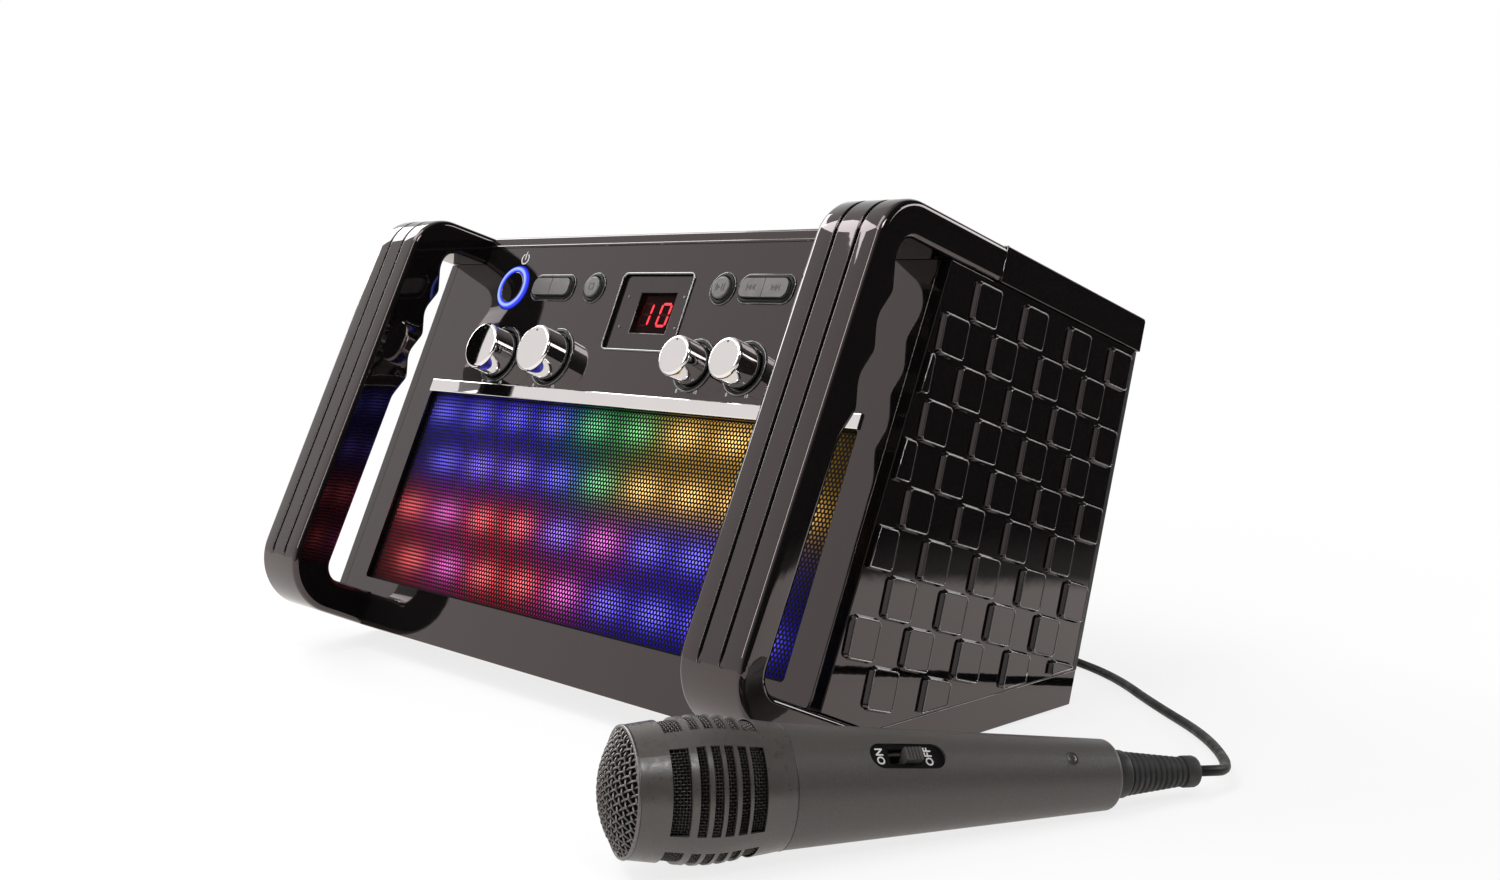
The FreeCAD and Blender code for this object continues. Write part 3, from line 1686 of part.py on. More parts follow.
def all_parts():
    handle = right_handle()
    side_panel = right_side_panel()
    parts = {
        "front_panel": front_panel(),
        "top_cover": top_cover(),
        "rear_panel": rear_panel(),
        "base_tray": base_tray(),
        "right_side_panel": side_panel,
        "left_side_panel": mirrored(side_panel),
        "right_handle": handle,
        "left_handle": mirrored(handle),
        "rubber_feet": rubber_feet(),
        "speaker_grille": speaker_grille(),
        "chrome_strip": chrome_strip(),
        "led_strips": led_strips(),
        "leds": leds(),
        "speaker_baffle": speaker_baffle(),
        "left_speaker": speaker(-1),
        "right_speaker": speaker(1),
        "speaker_cones": speaker_cones(),
        "control_board": control_board(),
        "display_module": display_module(),
        "display_window": display_window(),
        "potentiometers": potentiometers(),
        "power_button": round_button(power_x, power_radius, bezel_proud),
        "power_ring": power_ring(),
        "function_button": pair_button(function_x, -1),
        "program_button": pair_button(function_x, 1),
        "stop_button": round_button(stop_x, round_radius, button_proud),
        "play_button": round_button(play_x, round_radius, button_proud),
        "skip_back_button": pair_button(skip_x, -1),
        "skip_forward_button": pair_button(skip_x, 1),
        "button_bezels": button_bezels(),
        "disc_lid": disc_lid(),
        "lid_hinge_pin": lid_hinge_pin(),
        "disc_well": disc_well(),
        "turntable": turntable(),
        "spindle_motor": spindle_motor(),
        "pickup_sled": pickup_sled(),
        "sled_rails": sled_rails(),
        "sled_screw": sled_screw(),
        "main_board": main_board(),
        "power_supply": power_supply(),
        "mic_jacks": mic_jacks(),
        "av_jacks": av_jacks(),
        "power_inlet": power_inlet(),
        "tablet_cradle": tablet_cradle(),
        "case_screws": case_screws(),
        "mic_body": mic_body(),
        "mic_head": mic_head(),
        "mic_grille": mic_grille(),
        "mic_capsule": mic_capsule(),
        "mic_switch": mic_switch(),
        "mic_boot": mic_boot(),
        "mic_cord": mic_cord(),
        "mic_cord_coil": mic_cord_coil(),
        "mic_cord_lead": mic_cord_lead(),
        "cord_tie": cord_tie(),
        "mic_plug": mic_plug(),
    }
    for name, (x, diameter) in KNOBS.items():
        parts[name] = knob(x, diameter)
    return parts


os.makedirs("parts", exist_ok=True)
for name, shape in all_parts().items():
    shape.exportStep(f"parts/{name}.step")
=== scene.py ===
"""The karaoke machine and its microphone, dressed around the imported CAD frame.

Blender works in metres. Three local frames are in millimetres: FRONT lies on the front panel (across,
up the panel, out of it), BOX on the upper rear corner (across, back, up), and MIC on the tip of the
microphone's dome (out of the switch, round the body, along the body).
"""

import json
from math import atan, cos, exp, pi, radians, sin, sqrt

import bmesh
import bpy
from mathutils import Matrix, Vector

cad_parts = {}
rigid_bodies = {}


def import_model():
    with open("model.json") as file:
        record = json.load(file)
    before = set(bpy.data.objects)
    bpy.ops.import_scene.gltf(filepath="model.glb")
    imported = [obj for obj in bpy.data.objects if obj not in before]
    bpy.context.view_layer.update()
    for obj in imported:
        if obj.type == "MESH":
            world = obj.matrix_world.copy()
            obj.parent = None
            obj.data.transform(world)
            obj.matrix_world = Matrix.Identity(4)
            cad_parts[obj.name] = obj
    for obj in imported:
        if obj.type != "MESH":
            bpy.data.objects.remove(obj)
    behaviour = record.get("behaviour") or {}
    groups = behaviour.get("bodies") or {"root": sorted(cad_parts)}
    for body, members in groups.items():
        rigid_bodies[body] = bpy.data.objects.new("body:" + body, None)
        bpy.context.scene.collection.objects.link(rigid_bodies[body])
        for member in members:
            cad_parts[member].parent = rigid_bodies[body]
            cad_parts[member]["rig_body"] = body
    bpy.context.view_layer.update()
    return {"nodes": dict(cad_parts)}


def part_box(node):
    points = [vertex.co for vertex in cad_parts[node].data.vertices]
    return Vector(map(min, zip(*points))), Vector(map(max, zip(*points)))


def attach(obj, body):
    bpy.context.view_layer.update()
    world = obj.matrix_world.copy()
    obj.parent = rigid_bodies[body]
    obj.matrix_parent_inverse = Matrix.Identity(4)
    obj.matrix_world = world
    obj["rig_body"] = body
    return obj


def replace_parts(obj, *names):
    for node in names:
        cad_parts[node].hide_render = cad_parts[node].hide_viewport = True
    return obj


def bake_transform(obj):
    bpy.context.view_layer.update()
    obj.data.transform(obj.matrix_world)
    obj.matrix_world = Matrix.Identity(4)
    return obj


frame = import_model()
nodes = frame["nodes"]

MM = 0.001
FRONT_LEAN = 24
BOX_TILT = 17

# Microphone, in millimetres from the tip of its dome
MIC_TIP = (200.2, -219.5)
MIC_HEADING = 65.94
MIC_ROLL = 46
MIC_RIM_AT, MIC_RIM_RADIUS = 8.0, 22.7
MIC_WIDEST_AT, MIC_WIDEST_RADIUS = 35.0, 26.3
MIC_NECK_AT, MIC_NECK_RADIUS = 64.0, 22.3
MIC_TAIL_AT, MIC_TAIL_RADIUS = 200.3, 13.4
DOME_RADIUS = (MIC_RIM_RADIUS**2 + MIC_RIM_AT**2) / (2 * MIC_RIM_AT)
BOOT_RIBS_AT, BOOT_FLANGE_AT, BOOT_END_AT = 207.8, 234.3, 241.0

# Cord, in metres
CORD_DIAMETER = 0.0044
COIL_CENTRE = (0.075, 0.126)
COIL_BASE = 0.0036
COIL_OUTER = 0.032
COIL_STEP = 0.005
COIL_LAYERS = 4
LAYER_TURNS = 3.5
POINTS_PER_TURN = 16
CORD_ROUTE = (
    (0.3021, 0.0166, 0.0078),
    (0.2968, 0.0274, 0.0069),
    (0.2855, 0.0430, 0.0054),
    (0.2700, 0.0610, 0.0038),
    (0.2520, 0.0775, 0.0027),
    (0.2320, 0.0915, 0.0023),
    (0.2090, 0.1075, 0.0023),
    (0.1860, 0.1250, 0.0023),
    (0.1630, 0.1380, 0.0023),
    (0.1405, 0.1465, 0.0023),
    (0.1180, 0.1535, 0.0026),
)
COIL_ENTRY, COIL_EXIT = 0.018, 0.009
LEAD_ROUTE = (
    (0.0475, 0.1603, 0.0194),
    (0.0355, 0.1642, 0.0216),
    (0.0240, 0.1668, 0.0252),
    (0.0135, 0.1662, 0.0302),
    (0.0060, 0.1615, 0.0360),
    (0.0026, 0.1539, 0.0414),
)

# Ends of the cord, in millimetres: a straight run out of the boot, and the plug in the BOX frame
BOOT_RUN = 7
PLUG_BACK, PLUG_END = (2, 56, -128), (2, 47, -128)


def local_frame(location, x_turn):
    """A frame in millimetres, turned about X by degrees."""
    turn = Matrix.Rotation(radians(x_turn), 4, "X")
    return Matrix.Translation(Vector(location) * MM) @ turn @ Matrix.Scale(MM, 4)


def mic_frame():
    """The frame of the microphone, which lies on the floor on its widest ring and its tail."""
    drop = atan((MIC_WIDEST_RADIUS - MIC_TAIL_RADIUS) / (MIC_TAIL_AT - MIC_WIDEST_AT))
    height = MIC_WIDEST_RADIUS * cos(drop) + MIC_WIDEST_AT * sin(drop)
    heading = radians(MIC_HEADING)
    level = Vector((cos(heading), sin(heading), 0))
    along = level * cos(drop) - Vector((0, 0, sin(drop)))
    side = Vector((sin(heading), -cos(heading), 0))
    roll = radians(MIC_ROLL)
    out = side * cos(roll) + side.cross(along) * sin(roll)
    turn = Matrix((out, along.cross(out), along)).transposed().to_4x4()
    return Matrix.Translation(Vector((*MIC_TIP, height)) * MM) @ turn @ Matrix.Scale(MM, 4)


FRONT = local_frame((0, -105, 14), 90 - FRONT_LEAN)
BOX = local_frame((0, 128.5, 184), -BOX_TILT)
MIC = mic_frame()


def link(obj):
    bpy.context.scene.collection.objects.link(obj)
    return obj


# Camera
def add_camera():
    """The photograph's view, fitted to the straight edges of the machine."""
    data = bpy.data.cameras.new("camera")
    data.sensor_fit = "HORIZONTAL"
    data.sensor_width = 36
    data.lens = 37.99
    data.clip_start = 0.01
    camera = link(bpy.data.objects.new("camera", data))
    camera.location = (0.6117, -0.548, 0.203)
    camera.rotation_euler = (radians(90 - 5.816), 0, radians(45.85))
    bpy.context.scene.camera = camera


add_camera()


# Finishes
NOISE_MIDDLE = (0.3, 0.7)


def set_inputs(node, values):
    for name, value in values.items():
        node.inputs[name].default_value = value


class Tree:
    """A node tree, with the kinds of nodes that this scene uses."""

    def __init__(self, node_tree):
        self.nodes = node_tree.nodes
        self.link = node_tree.links.new

    def place(self, space):
        return self.nodes.new("ShaderNodeTexCoord").outputs[space]

    def noise(self, scale, stretch=None):
        """Noise in the object's own space, in features per metre."""
        noise = self.nodes.new("ShaderNodeTexNoise")
        set_inputs(noise, {"Scale": scale, "Detail": 3.0})
        place = self.place("Object")
        if stretch:
            mapping = self.nodes.new("ShaderNodeMapping")
            mapping.inputs["Scale"].default_value = stretch
            self.link(place, mapping.inputs["Vector"])
            place = mapping.outputs["Vector"]
        self.link(place, noise.inputs["Vector"])
        return noise.outputs["Fac"]

    def map_range(self, source, start, stop, low, high, kind="SMOOTHSTEP"):
        """Goes from one value to another as the source goes from start to stop."""
        step = self.nodes.new("ShaderNodeMapRange")
        step.interpolation_type = kind
        set_inputs(step, {"From Min": start, "From Max": stop, "To Min": low, "To Max": high})
        self.link(source, step.inputs["Value"])
        return step.outputs["Result"]

    def colour(self, share, first, last):
        """A blend of two colours."""
        blend = self.nodes.new("ShaderNodeMix")
        blend.data_type = "RGBA"
        set_inputs(blend, {"A": (*first, 1), "B": (*last, 1)})
        self.link(share, blend.inputs["Factor"])
        return blend.outputs["Result"]

    def math(self, operation, first, last):
        node = self.nodes.new("ShaderNodeMath")
        node.operation = operation
        self.link(first, node.inputs[0])
        self.link(last, node.inputs[1])
        return node.outputs["Value"]

    def vector_math(self, operation, source, other=None):
        """The length of a vector, or its product with another."""
        node = self.nodes.new("ShaderNodeVectorMath")
        node.operation = operation
        self.link(source, node.inputs[0])
        if other is not None:
            node.inputs[1].default_value = other
        return node.outputs["Value"]

    def rays(self, *kinds):
        """One where the ray is of any of these kinds, else zero."""
        path = self.nodes.new("ShaderNodeLightPath")
        total = path.outputs[kinds[0]]
        for kind in kinds[1:]:
            total = self.math("MAXIMUM", total, path.outputs[kind])
        return total

    def mix_shaders(self, share, first, last, output):
        """Blends two shaders into an output node."""
        blend = self.nodes.new("ShaderNodeMixShader")
        self.link(share, blend.inputs["Fac"])
        self.link(first, blend.inputs[1])
        self.link(last, blend.inputs[2])
        self.link(blend.outputs["Shader"], self.nodes[output].inputs["Surface"])


def new_finish(name):
    """A material, its node tree and its main shader."""
    finish = bpy.data.materials.new(name)
    finish.use_nodes = True
    tree = Tree(finish.node_tree)
    return finish, tree, tree.nodes["Principled BSDF"]


def surface(
    name,
    colour,
    rough,
    mottle=(40.0, 0.12),
    grain=None,
    wave=None,
    metallic=0.0,
    ior=1.5,
    gleam=0.5,
    tint=(1, 1, 1),
    stretch=None,
):
    """A finish whose colour and roughness drift a little, with a grain and a wave raised by bump.

    mottle is (features per metre, share), grain and wave are (features per metre, height in metres).
    """
    finish, tree, shader = new_finish(name)
    scale, share = mottle
    dark = tuple(c * (1 - share) for c in colour)
    light = tuple(min(1.0, c * (1 + share)) for c in colour)
    tree.link(tree.colour(tree.noise(scale, stretch), dark, light), shader.inputs["Base Color"])
    rubbed = tree.noise(scale * 4, stretch)
    drift = tree.map_range(rubbed, *NOISE_MIDDLE, rough * 0.8, rough * 1.25, "LINEAR")
    tree.link(drift, shader.inputs["Roughness"])
    set_inputs(shader, {"Metallic": metallic, "IOR": ior})
    set_inputs(shader, {"Specular IOR Level": gleam, "Specular Tint": (*tint, 1)})
    normal = None
    for relief in (wave, grain):
        if relief is None:
            continue
        bump = tree.nodes.new("ShaderNodeBump")
        set_inputs(bump, {"Strength": 1.0, "Distance": relief[1]})
        tree.link(tree.noise(relief[0], stretch), bump.inputs["Height"])
        if normal is not None:
            tree.link(normal, bump.inputs["Normal"])
        normal = bump.outputs["Normal"]
    if normal is not None:
        tree.link(normal, shader.inputs["Normal"])
    return finish


def lit(name, colour, strength, base):
    """A lit plastic: its light drifts a little over the surface."""
    finish, tree, shader = new_finish(name)
    dim = tuple(c * 0.85 for c in colour)
    tree.link(tree.colour(tree.noise(300), dim, colour), shader.inputs["Emission Color"])
    set_inputs(shader, {"Emission Strength": strength, "Base Color": (*base, 1), "Roughness": 0.3})
    return finish


def glow_film(name):
    """A thin diffuser that carries the light of the lamps behind it in its point colours."""
    finish, tree, shader = new_finish(name)
    attribute = tree.nodes.new("ShaderNodeAttribute")
    attribute.attribute_name = "glow"
    tree.link(attribute.outputs["Color"], shader.inputs["Emission Color"])
    set_inputs(shader, {"Emission Strength": 1.0, "Base Color": (0.004, 0.004, 0.005, 1)})
    set_inputs(shader, {"Roughness": 0.8, "Specular IOR Level": 0.0})
    return finish


WARM = (1.0, 0.86, 0.86)
GLOSS = surface("gloss_black", (0.004, 0.0035, 0.0035), 0.03, wave=(60, 0.00004), ior=1.72, tint=WARM)
PANEL = surface("panel_black", (0.005, 0.0043, 0.0043), 0.04, wave=(40, 0.00003), ior=1.72, tint=WARM)
SATIN = surface("satin_black", (0.022, 0.021, 0.021), 0.42, grain=(1800, 0.00004))
RUBBER = surface("rubber_black", (0.016, 0.016, 0.016), 0.6, grain=(2500, 0.00004))
GRILLE = surface("grille_black", (0.003, 0.003, 0.0032), 0.55, grain=(3000, 0.00002), gleam=0.06)
# Matte black with little gleam, used as painted shade: the recesses round the buttons and at the knobs' bases
# are drawn dark with it. The switch's plate takes it too.
BLACK_AND_PAINTED_SHADE = surface("well_black_and_painted_shade", (0.002, 0.002, 0.002), 0.4, mottle=(300, 0.3), gleam=0.15)
RIM = surface("rim_black", (0.003, 0.003, 0.003), 0.06, mottle=(200, 0.2), ior=2.8)
WELL_RIM = surface("well_rim", (0.002, 0.002, 0.002), 0.05, mottle=(200, 0.2), ior=1.9)
CHROME = surface("chrome", (0.78, 0.765, 0.76), 0.04, mottle=(80, 0.02), metallic=1.0)
STEEL = surface("steel", (0.55, 0.55, 0.56), 0.28, mottle=(300, 0.1), metallic=1.0, stretch=(1, 1, 0.1))
BOARD = surface("board_green", (0.02, 0.11, 0.04), 0.4, mottle=(700, 0.35))
LENS = surface("light_lens", (0.6, 0.6, 0.68), 0.15, mottle=(400, 0.05))
PAPER = surface("cone_paper", (0.03, 0.03, 0.03), 0.85, grain=(1500, 0.0001))
SPEAKER = surface("speaker_metal", (0.1, 0.1, 0.105), 0.4, grain=(2000, 0.00003), metallic=0.6)
DISPLAY = surface("display_red", (0.007, 0.0004, 0.0005), 0.2, gleam=0.03)
WINDOW = surface("window_black", (0.006, 0.005, 0.005), 0.07, wave=(40, 0.00002), ior=1.65, tint=WARM)
RING = lit("ring_blue", (0.24, 0.21, 1.0), 3.2, base=(0.1, 0.1, 0.3))
BUTTON = surface("button_grey", (0.085, 0.08, 0.078), 0.35, grain=(2500, 0.00003))
CORE = surface("core_steel", (0.12, 0.12, 0.12), 0.5, mottle=(500, 0.3), metallic=0.7)
MIC_GREY = surface(
    "mic_grey", (0.052, 0.047, 0.043), 0.42, mottle=(2000, 0.5), grain=(1900, 0.00014), ior=1.6
)
MIC_HEAD = surface("mic_satin", (0.06, 0.054, 0.05), 0.32, mottle=(120, 0.2), ior=1.6)
MESH = surface("mic_mesh", (0.15, 0.14, 0.135), 0.4, mottle=(900, 0.4), metallic=0.9)
SLEEVE = surface("sleeve_mesh", (0.06, 0.056, 0.053), 0.45, mottle=(900, 0.4), metallic=0.9)
FOAM = surface("foam_black", (0.004, 0.004, 0.004), 0.9, grain=(900, 0.0003), gleam=0.1)
SWITCH = surface("switch_grey", (0.055, 0.051, 0.048), 0.4, mottle=(900, 0.3))
SCREW = surface("screw_dark", (0.09, 0.087, 0.085), 0.35, mottle=(600, 0.3), metallic=0.7)
CORD = surface("cord_black", (0.003, 0.003, 0.0031), 0.45, grain=(1500, 0.00004), gleam=0.15)
BRASS = surface("socket_brass", (0.7, 0.58, 0.34), 0.2, mottle=(200, 0.1), metallic=1.0)
PRINT = surface("white_print", (0.62, 0.6, 0.59), 0.5, mottle=(1500, 0.1))
# Dark print for signs, dots and the microphone's seam; also painted shade at the microphone's screw.
DARK_PRINT_AND_SHADE = surface("dark_print_and_painted_shade", (0.01, 0.01, 0.01), 0.4, mottle=(1500, 0.2))
DIGIT = lit("display_lit", (1.0, 0.008, 0.03), 1.2, base=(0.2, 0.0, 0.0))
DIGIT_DARK = surface("display_unlit", (0.02, 0.0015, 0.0015), 0.5, gleam=0.03)
LAMP_GREY = surface("lamp_grey", (0.12, 0.115, 0.115), 0.3, mottle=(900, 0.2))
GLOW = glow_film("light_film")

NODE_FINISH = {
    GLOSS: (
        "top_cover right_side_panel left_side_panel right_handle left_handle base_tray disc_lid power_button"
    ),
    # Button bezels: matte black as painted shade of the recess round each button.
    BLACK_AND_PAINTED_SHADE: "button_bezels",
    PANEL: "front_panel",
    SATIN: "rear_panel tablet_cradle speaker_baffle disc_well mic_jacks power_inlet mic_plug turntable",
    RUBBER: "rubber_feet",
    CHROME: "chrome_strip mic_volume_knob master_volume_knob echo_knob balance_knob",
    STEEL: "lid_hinge_pin sled_rails sled_screw case_screws spindle_motor",
    BOARD: "control_board main_board led_strips",
    LENS: "leds",
    PAPER: "speaker_cones",
    SPEAKER: "left_speaker right_speaker potentiometers",
    DISPLAY: "display_module",
    WINDOW: "display_window",
    RING: "power_ring",
    BUTTON: "function_button program_button stop_button play_button skip_back_button skip_forward_button",
    CORE: "power_supply mic_capsule pickup_sled",
    MIC_GREY: "mic_body",
    MIC_HEAD: "mic_head",
    BRASS: "av_jacks",
    SWITCH: "mic_switch",
}
for finish, names in NODE_FINISH.items():
    for name in names.split():
        materials = nodes[name].data.materials
        materials.clear()
        materials.append(finish)


# Mesh pieces
def piece(name, shape, finish, body, place=None, sharp=35):
    """A mesh piece on a CAD body, from a shape in one of the local frames or in metres."""
    mesh = bpy.data.meshes.new(name)
    mesh.from_pydata([place @ Vector(p) if place else p for p in shape.points], [], shape.faces)
    mesh.validate()
    mesh.materials.append(finish)
    mesh.shade_smooth()
    mesh.set_sharp_from_angle(angle=radians(sharp))
    obj = link(bpy.data.objects.new(name, mesh))
    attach(obj, body)
    return obj


def band(low, high, count):
    """The faces between two closed rows of points, from the first point of each row."""
    return [(low + i, low + (i + 1) % count, high + (i + 1) % count, high + i) for i in range(count)]


class Shape:
    """Points and faces of a mesh that grows by simple forms. Each form returns the shape."""

    def __init__(self):
        self.points = []
        self.faces = []

    def add(self, points, faces):
        start = len(self.points)
        self.points += [tuple(p) for p in points]
        self.faces += [tuple(start + i for i in face) for face in faces]
        return self

    def prism(self, outline, low, high):
        """A flat form of any outline (x, y), counter-clockwise, between two heights."""
        count = len(outline)
        points = [(x, y, z) for z in (low, high) for x, y in outline]
        ends = [tuple(range(count - 1, -1, -1)), tuple(range(count, 2 * count))]
        return self.add(points, ends + band(0, count, count))

    def lathe(self, profile, segments=64, centre=(0, 0)):
        """A form turned about local Z from a profile of (radius, z), closed at both ends by its axis."""
        points = []
        rings = []
        for radius, z in profile:
            if radius < 1e-6:
                rings.append([len(points)] * segments)
                points.append((centre[0], centre[1], z))
                continue
            rings.append(list(range(len(points), len(points) + segments)))
            for i in range(segments):
                angle = 2 * pi * i / segments
                points.append((centre[0] + radius * cos(angle), centre[1] + radius * sin(angle), z))
        faces = []
        for low, high in zip(rings, rings[1:]):
            for i in range(segments):
                j = (i + 1) % segments
                corners = dict.fromkeys((low[i], low[j], high[j], high[i]))
                if len(corners) > 2:
                    faces.append(tuple(corners))
        return self.add(points, faces)

    def wire(self, line, radius, sides=6, closed=False):
        """A thin round wire through a line of points."""
        count = len(line)
        points = []
        for k, at in enumerate(line):
            before = line[k - 1] if closed or k else at
            after = line[(k + 1) % count] if closed or k < count - 1 else at
            along = (after - before).normalized()
            across = along.orthogonal() if k == 0 else (across - along * across.dot(along))
            across = across.normalized()
            other = along.cross(across)
            for i in range(sides):
                angle = 2 * pi * i / sides
                points.append(at + (across * cos(angle) + other * sin(angle)) * radius)
        faces = []
        for k in range(count if closed else count - 1):
            faces += band(k * sides, (k + 1) % count * sides, sides)
        if not closed:
            faces += [tuple(range(sides - 1, -1, -1)), tuple(range((count - 1) * sides, count * sides))]
        return self.add(points, faces)


def circle(radius, z):
    """A closed line round local Z."""
    turns = [2 * pi * k / 96 for k in range(96)]
    return [Vector((radius * cos(turn), radius * sin(turn), z)) for turn in turns]


def oblong(x0, x1, y0, y1):
    return [(x0, y0), (x1, y0), (x1, y1), (x0, y1)]


def curve_mesh(name, curve):
    """The mesh of a curve or of lettering, without a material."""
    obj = link(bpy.data.objects.new(name, curve))
    depsgraph = bpy.context.evaluated_depsgraph_get()
    mesh = bpy.data.meshes.new_from_object(obj.evaluated_get(depsgraph))
    bpy.data.objects.remove(obj)
    mesh.materials.clear()
    return mesh


# Casing with rounded edges
MOULDINGS = (
    ("gloss_black", 0.8, "right_handle left_handle"),
    ("gloss_black", 0.5, "top_cover base_tray disc_lid right_side_panel left_side_panel"),
    ("window_black", 0.4, "display_window"),
    ("window_black", 0.7, "button_bezels"),
)
SHARP = radians(50)


def plain_faces(name):
    """A work copy of a CAD mesh whose flat faces are whole again."""
    work = bmesh.new()
    work.from_mesh(nodes[name].data)
    bmesh.ops.remove_doubles(work, verts=work.verts, dist=1e-6)
    bmesh.ops.dissolve_limit(work, angle_limit=radians(0.5), verts=work.verts, edges=work.edges)
    return work


def round_edges(name, width):
    """Stands in for a gloss moulding: its sharp outer edges are rounded, so that they catch the light."""
    work = plain_faces(name)
    corners = [edge for edge in work.edges if edge.is_manifold and edge.calc_face_angle() > SHARP]
    for edge in corners:
        edge.smooth = edge.is_convex
    outer = [edge for edge in corners if edge.is_convex]
    bmesh.ops.bevel(
        work, geom=outer, offset=width * MM, offset_type="OFFSET", segments=3, profile=0.5, affect="EDGES"
    )
    mesh = nodes[name].data.copy()
    work.to_mesh(mesh)
    work.free()
    for face in mesh.polygons:
        face.use_smooth = True
    moulding = link(bpy.data.objects.new(f"{name}_moulding", mesh))
    normals = moulding.modifiers.new("normals", "WEIGHTED_NORMAL")
    normals.keep_sharp = True
    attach(moulding, nodes[name]["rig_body"])
    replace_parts(moulding, name)


def outline_pads(name):
    """A fine bead round the face of each raised pad, which catches the light on every side."""
    work = plain_faces(name)
    reach = max(abs(corner.co.x) for corner in work.verts) - 0.1 * MM
    shape = Shape()
    for face in work.faces:
        if min(abs(corner.co.x) for corner in face.verts) > reach:
            shape.wire([corner.co.copy() for corner in face.verts], 0.3 * MM, 8, closed=True)
    work.free()
    piece(f"{name}_beads", shape, RIM, nodes[name]["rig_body"], sharp=60)


def add_arm_seams():
    """The rounded end of each upper arm, where it meets the top cover."""
    outer, inner, seam, deep = 189.7, 153.5, -114.0, -16.3
    shape = Shape()
    for side in (-1, 1):
        line = [(outer, seam, deep), (outer, seam, -0.3), (inner, seam, -0.3)]
        shape.wire([Vector((side * x, back, up)) for x, back, up in line], 0.5, 10)
    piece("arm_seams", shape, RIM, "case", BOX, sharp=60)


for slot, width, names in MOULDINGS:
    for name in names.split():
        round_edges(name, width)
outline_pads("right_side_panel")
outline_pads("left_side_panel")
add_arm_seams()


# Cord
def coil_point(turns):
    """A point of the coil's middle line: layers wind in and out by turns and climb at each reversal."""
    layer = min(int(turns // LAYER_TURNS), COIL_LAYERS - 1)
    within = turns - layer * LAYER_TURNS
    depth = within if layer % 2 == 0 else LAYER_TURNS - within
    radius = COIL_OUTER - COIL_STEP * depth
    reversals = [LAYER_TURNS * k for k in range(1, COIL_LAYERS)]
    climbed = sum(min(1.0, max(0.0, 0.5 + (turns - at) / 0.5)) for at in reversals)
    angle = pi / 2 + 2 * pi * turns
    x = COIL_CENTRE[0] + radius * cos(angle)
    y = COIL_CENTRE[1] + radius * sin(angle)
    return Vector((x, y, COIL_BASE + COIL_STEP * climbed))


def cord_points():
    """Control points of the whole cord, from the boot through the coil to the plug."""
    total = COIL_LAYERS * LAYER_TURNS
    coil = [coil_point(i / POINTS_PER_TURN) for i in range(int(total * POINTS_PER_TURN) + 1)]
    left = Vector((-CORD_DIAMETER, 0, 0))
    start = coil[0] - left
    end = coil[-1] + left
    points = [MIC @ Vector((0, 0, at)) for at in (BOOT_END_AT, BOOT_END_AT + BOOT_RUN)]
    points += [Vector(p) for p in CORD_ROUTE]
    points += [start + Vector((COIL_ENTRY, 0, 0)), start, *coil, end, end - Vector((COIL_EXIT, 0, 0))]
    points += [Vector(p) for p in LEAD_ROUTE]
    return points + [BOX @ Vector(p) for p in (PLUG_BACK, PLUG_END)]


def spline_mesh(name, points, radius):
    """The mesh of a smooth line through control points, a tube if it has a radius."""
    curve = bpy.data.curves.new(name, "CURVE")
    curve.dimensions = "3D"
    spline = curve.splines.new("NURBS")
    spline.points.add(len(points) - 1)
    for knot, at in zip(spline.points, points):
        knot.co = (*at, 1)
    spline.order_u = 3
    spline.use_endpoint_u = True
    spline.resolution_u = 5
    curve.bevel_depth = radius
    curve.bevel_resolution = 4
    curve.use_fill_caps = radius > 0
    return curve_mesh(name, curve)


def add_tie():
    """A hook-and-loop strap round the coil's section, with its free end lapped over."""
    shape = Shape()
    inner, outer, low, high = 11.4, 35.1, 0.5, 21.7
    corner = 3.1
    width = 3.5
    left, right = inner + corner, outer - corner
    under, over = low + corner, high - corner
    path = []
    for x, z, first in ((right, under, -90), (right, over, 0), (left, over, 90), (left, under, 180)):
        for i in range(7):
            angle = radians(first + 15 * i)
            path.append((x, z, cos(angle), sin(angle)))
    section = [(-0.5, -width), (-0.5, width), (0.35, width)]
    section += [(0.5, width - 0.3), (0.5, 0.3 - width), (0.35, -width)]
    count = len(section)
    points = [(x + nx * out, y, z + nz * out) for x, z, nx, nz in path for out, y in section]
    faces = []
    for k in range(len(path)):
        faces += band(k * count, (k + 1) % len(path) * count, count)
    shape.add(points, faces)
    lap = [(12.5, -3.2), (27, -3.2), (28.2, -2.4), (28.8, 0), (28.2, 2.4), (27, 3.2), (12.5, 3.2)]
    shape.prism(lap, high + 0.45, high + 1.2)
    turn = Matrix.Rotation(radians(250), 4, "Z")
    place = Matrix.Translation((*COIL_CENTRE, 0)) @ turn @ Matrix.Scale(MM, 4)
    strap = piece("coil_strap", shape, RUBBER, "case", place)
    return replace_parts(strap, "cord_tie")


def add_cord():
    """The whole cord in one piece, from the boot to the plug."""
    points = cord_points()
    line = spline_mesh("cord_line", points, 0)
    mesh = spline_mesh("microphone_cord", points, CORD_DIAMETER / 2)
    mesh.materials.append(CORD)
    mesh.shade_smooth()
    cord = link(bpy.data.objects.new("microphone_cord", mesh))
    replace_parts(cord, "mic_cord", "mic_cord_coil", "mic_cord_lead")
    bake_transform(cord)
    strap = add_tie()


add_cord()


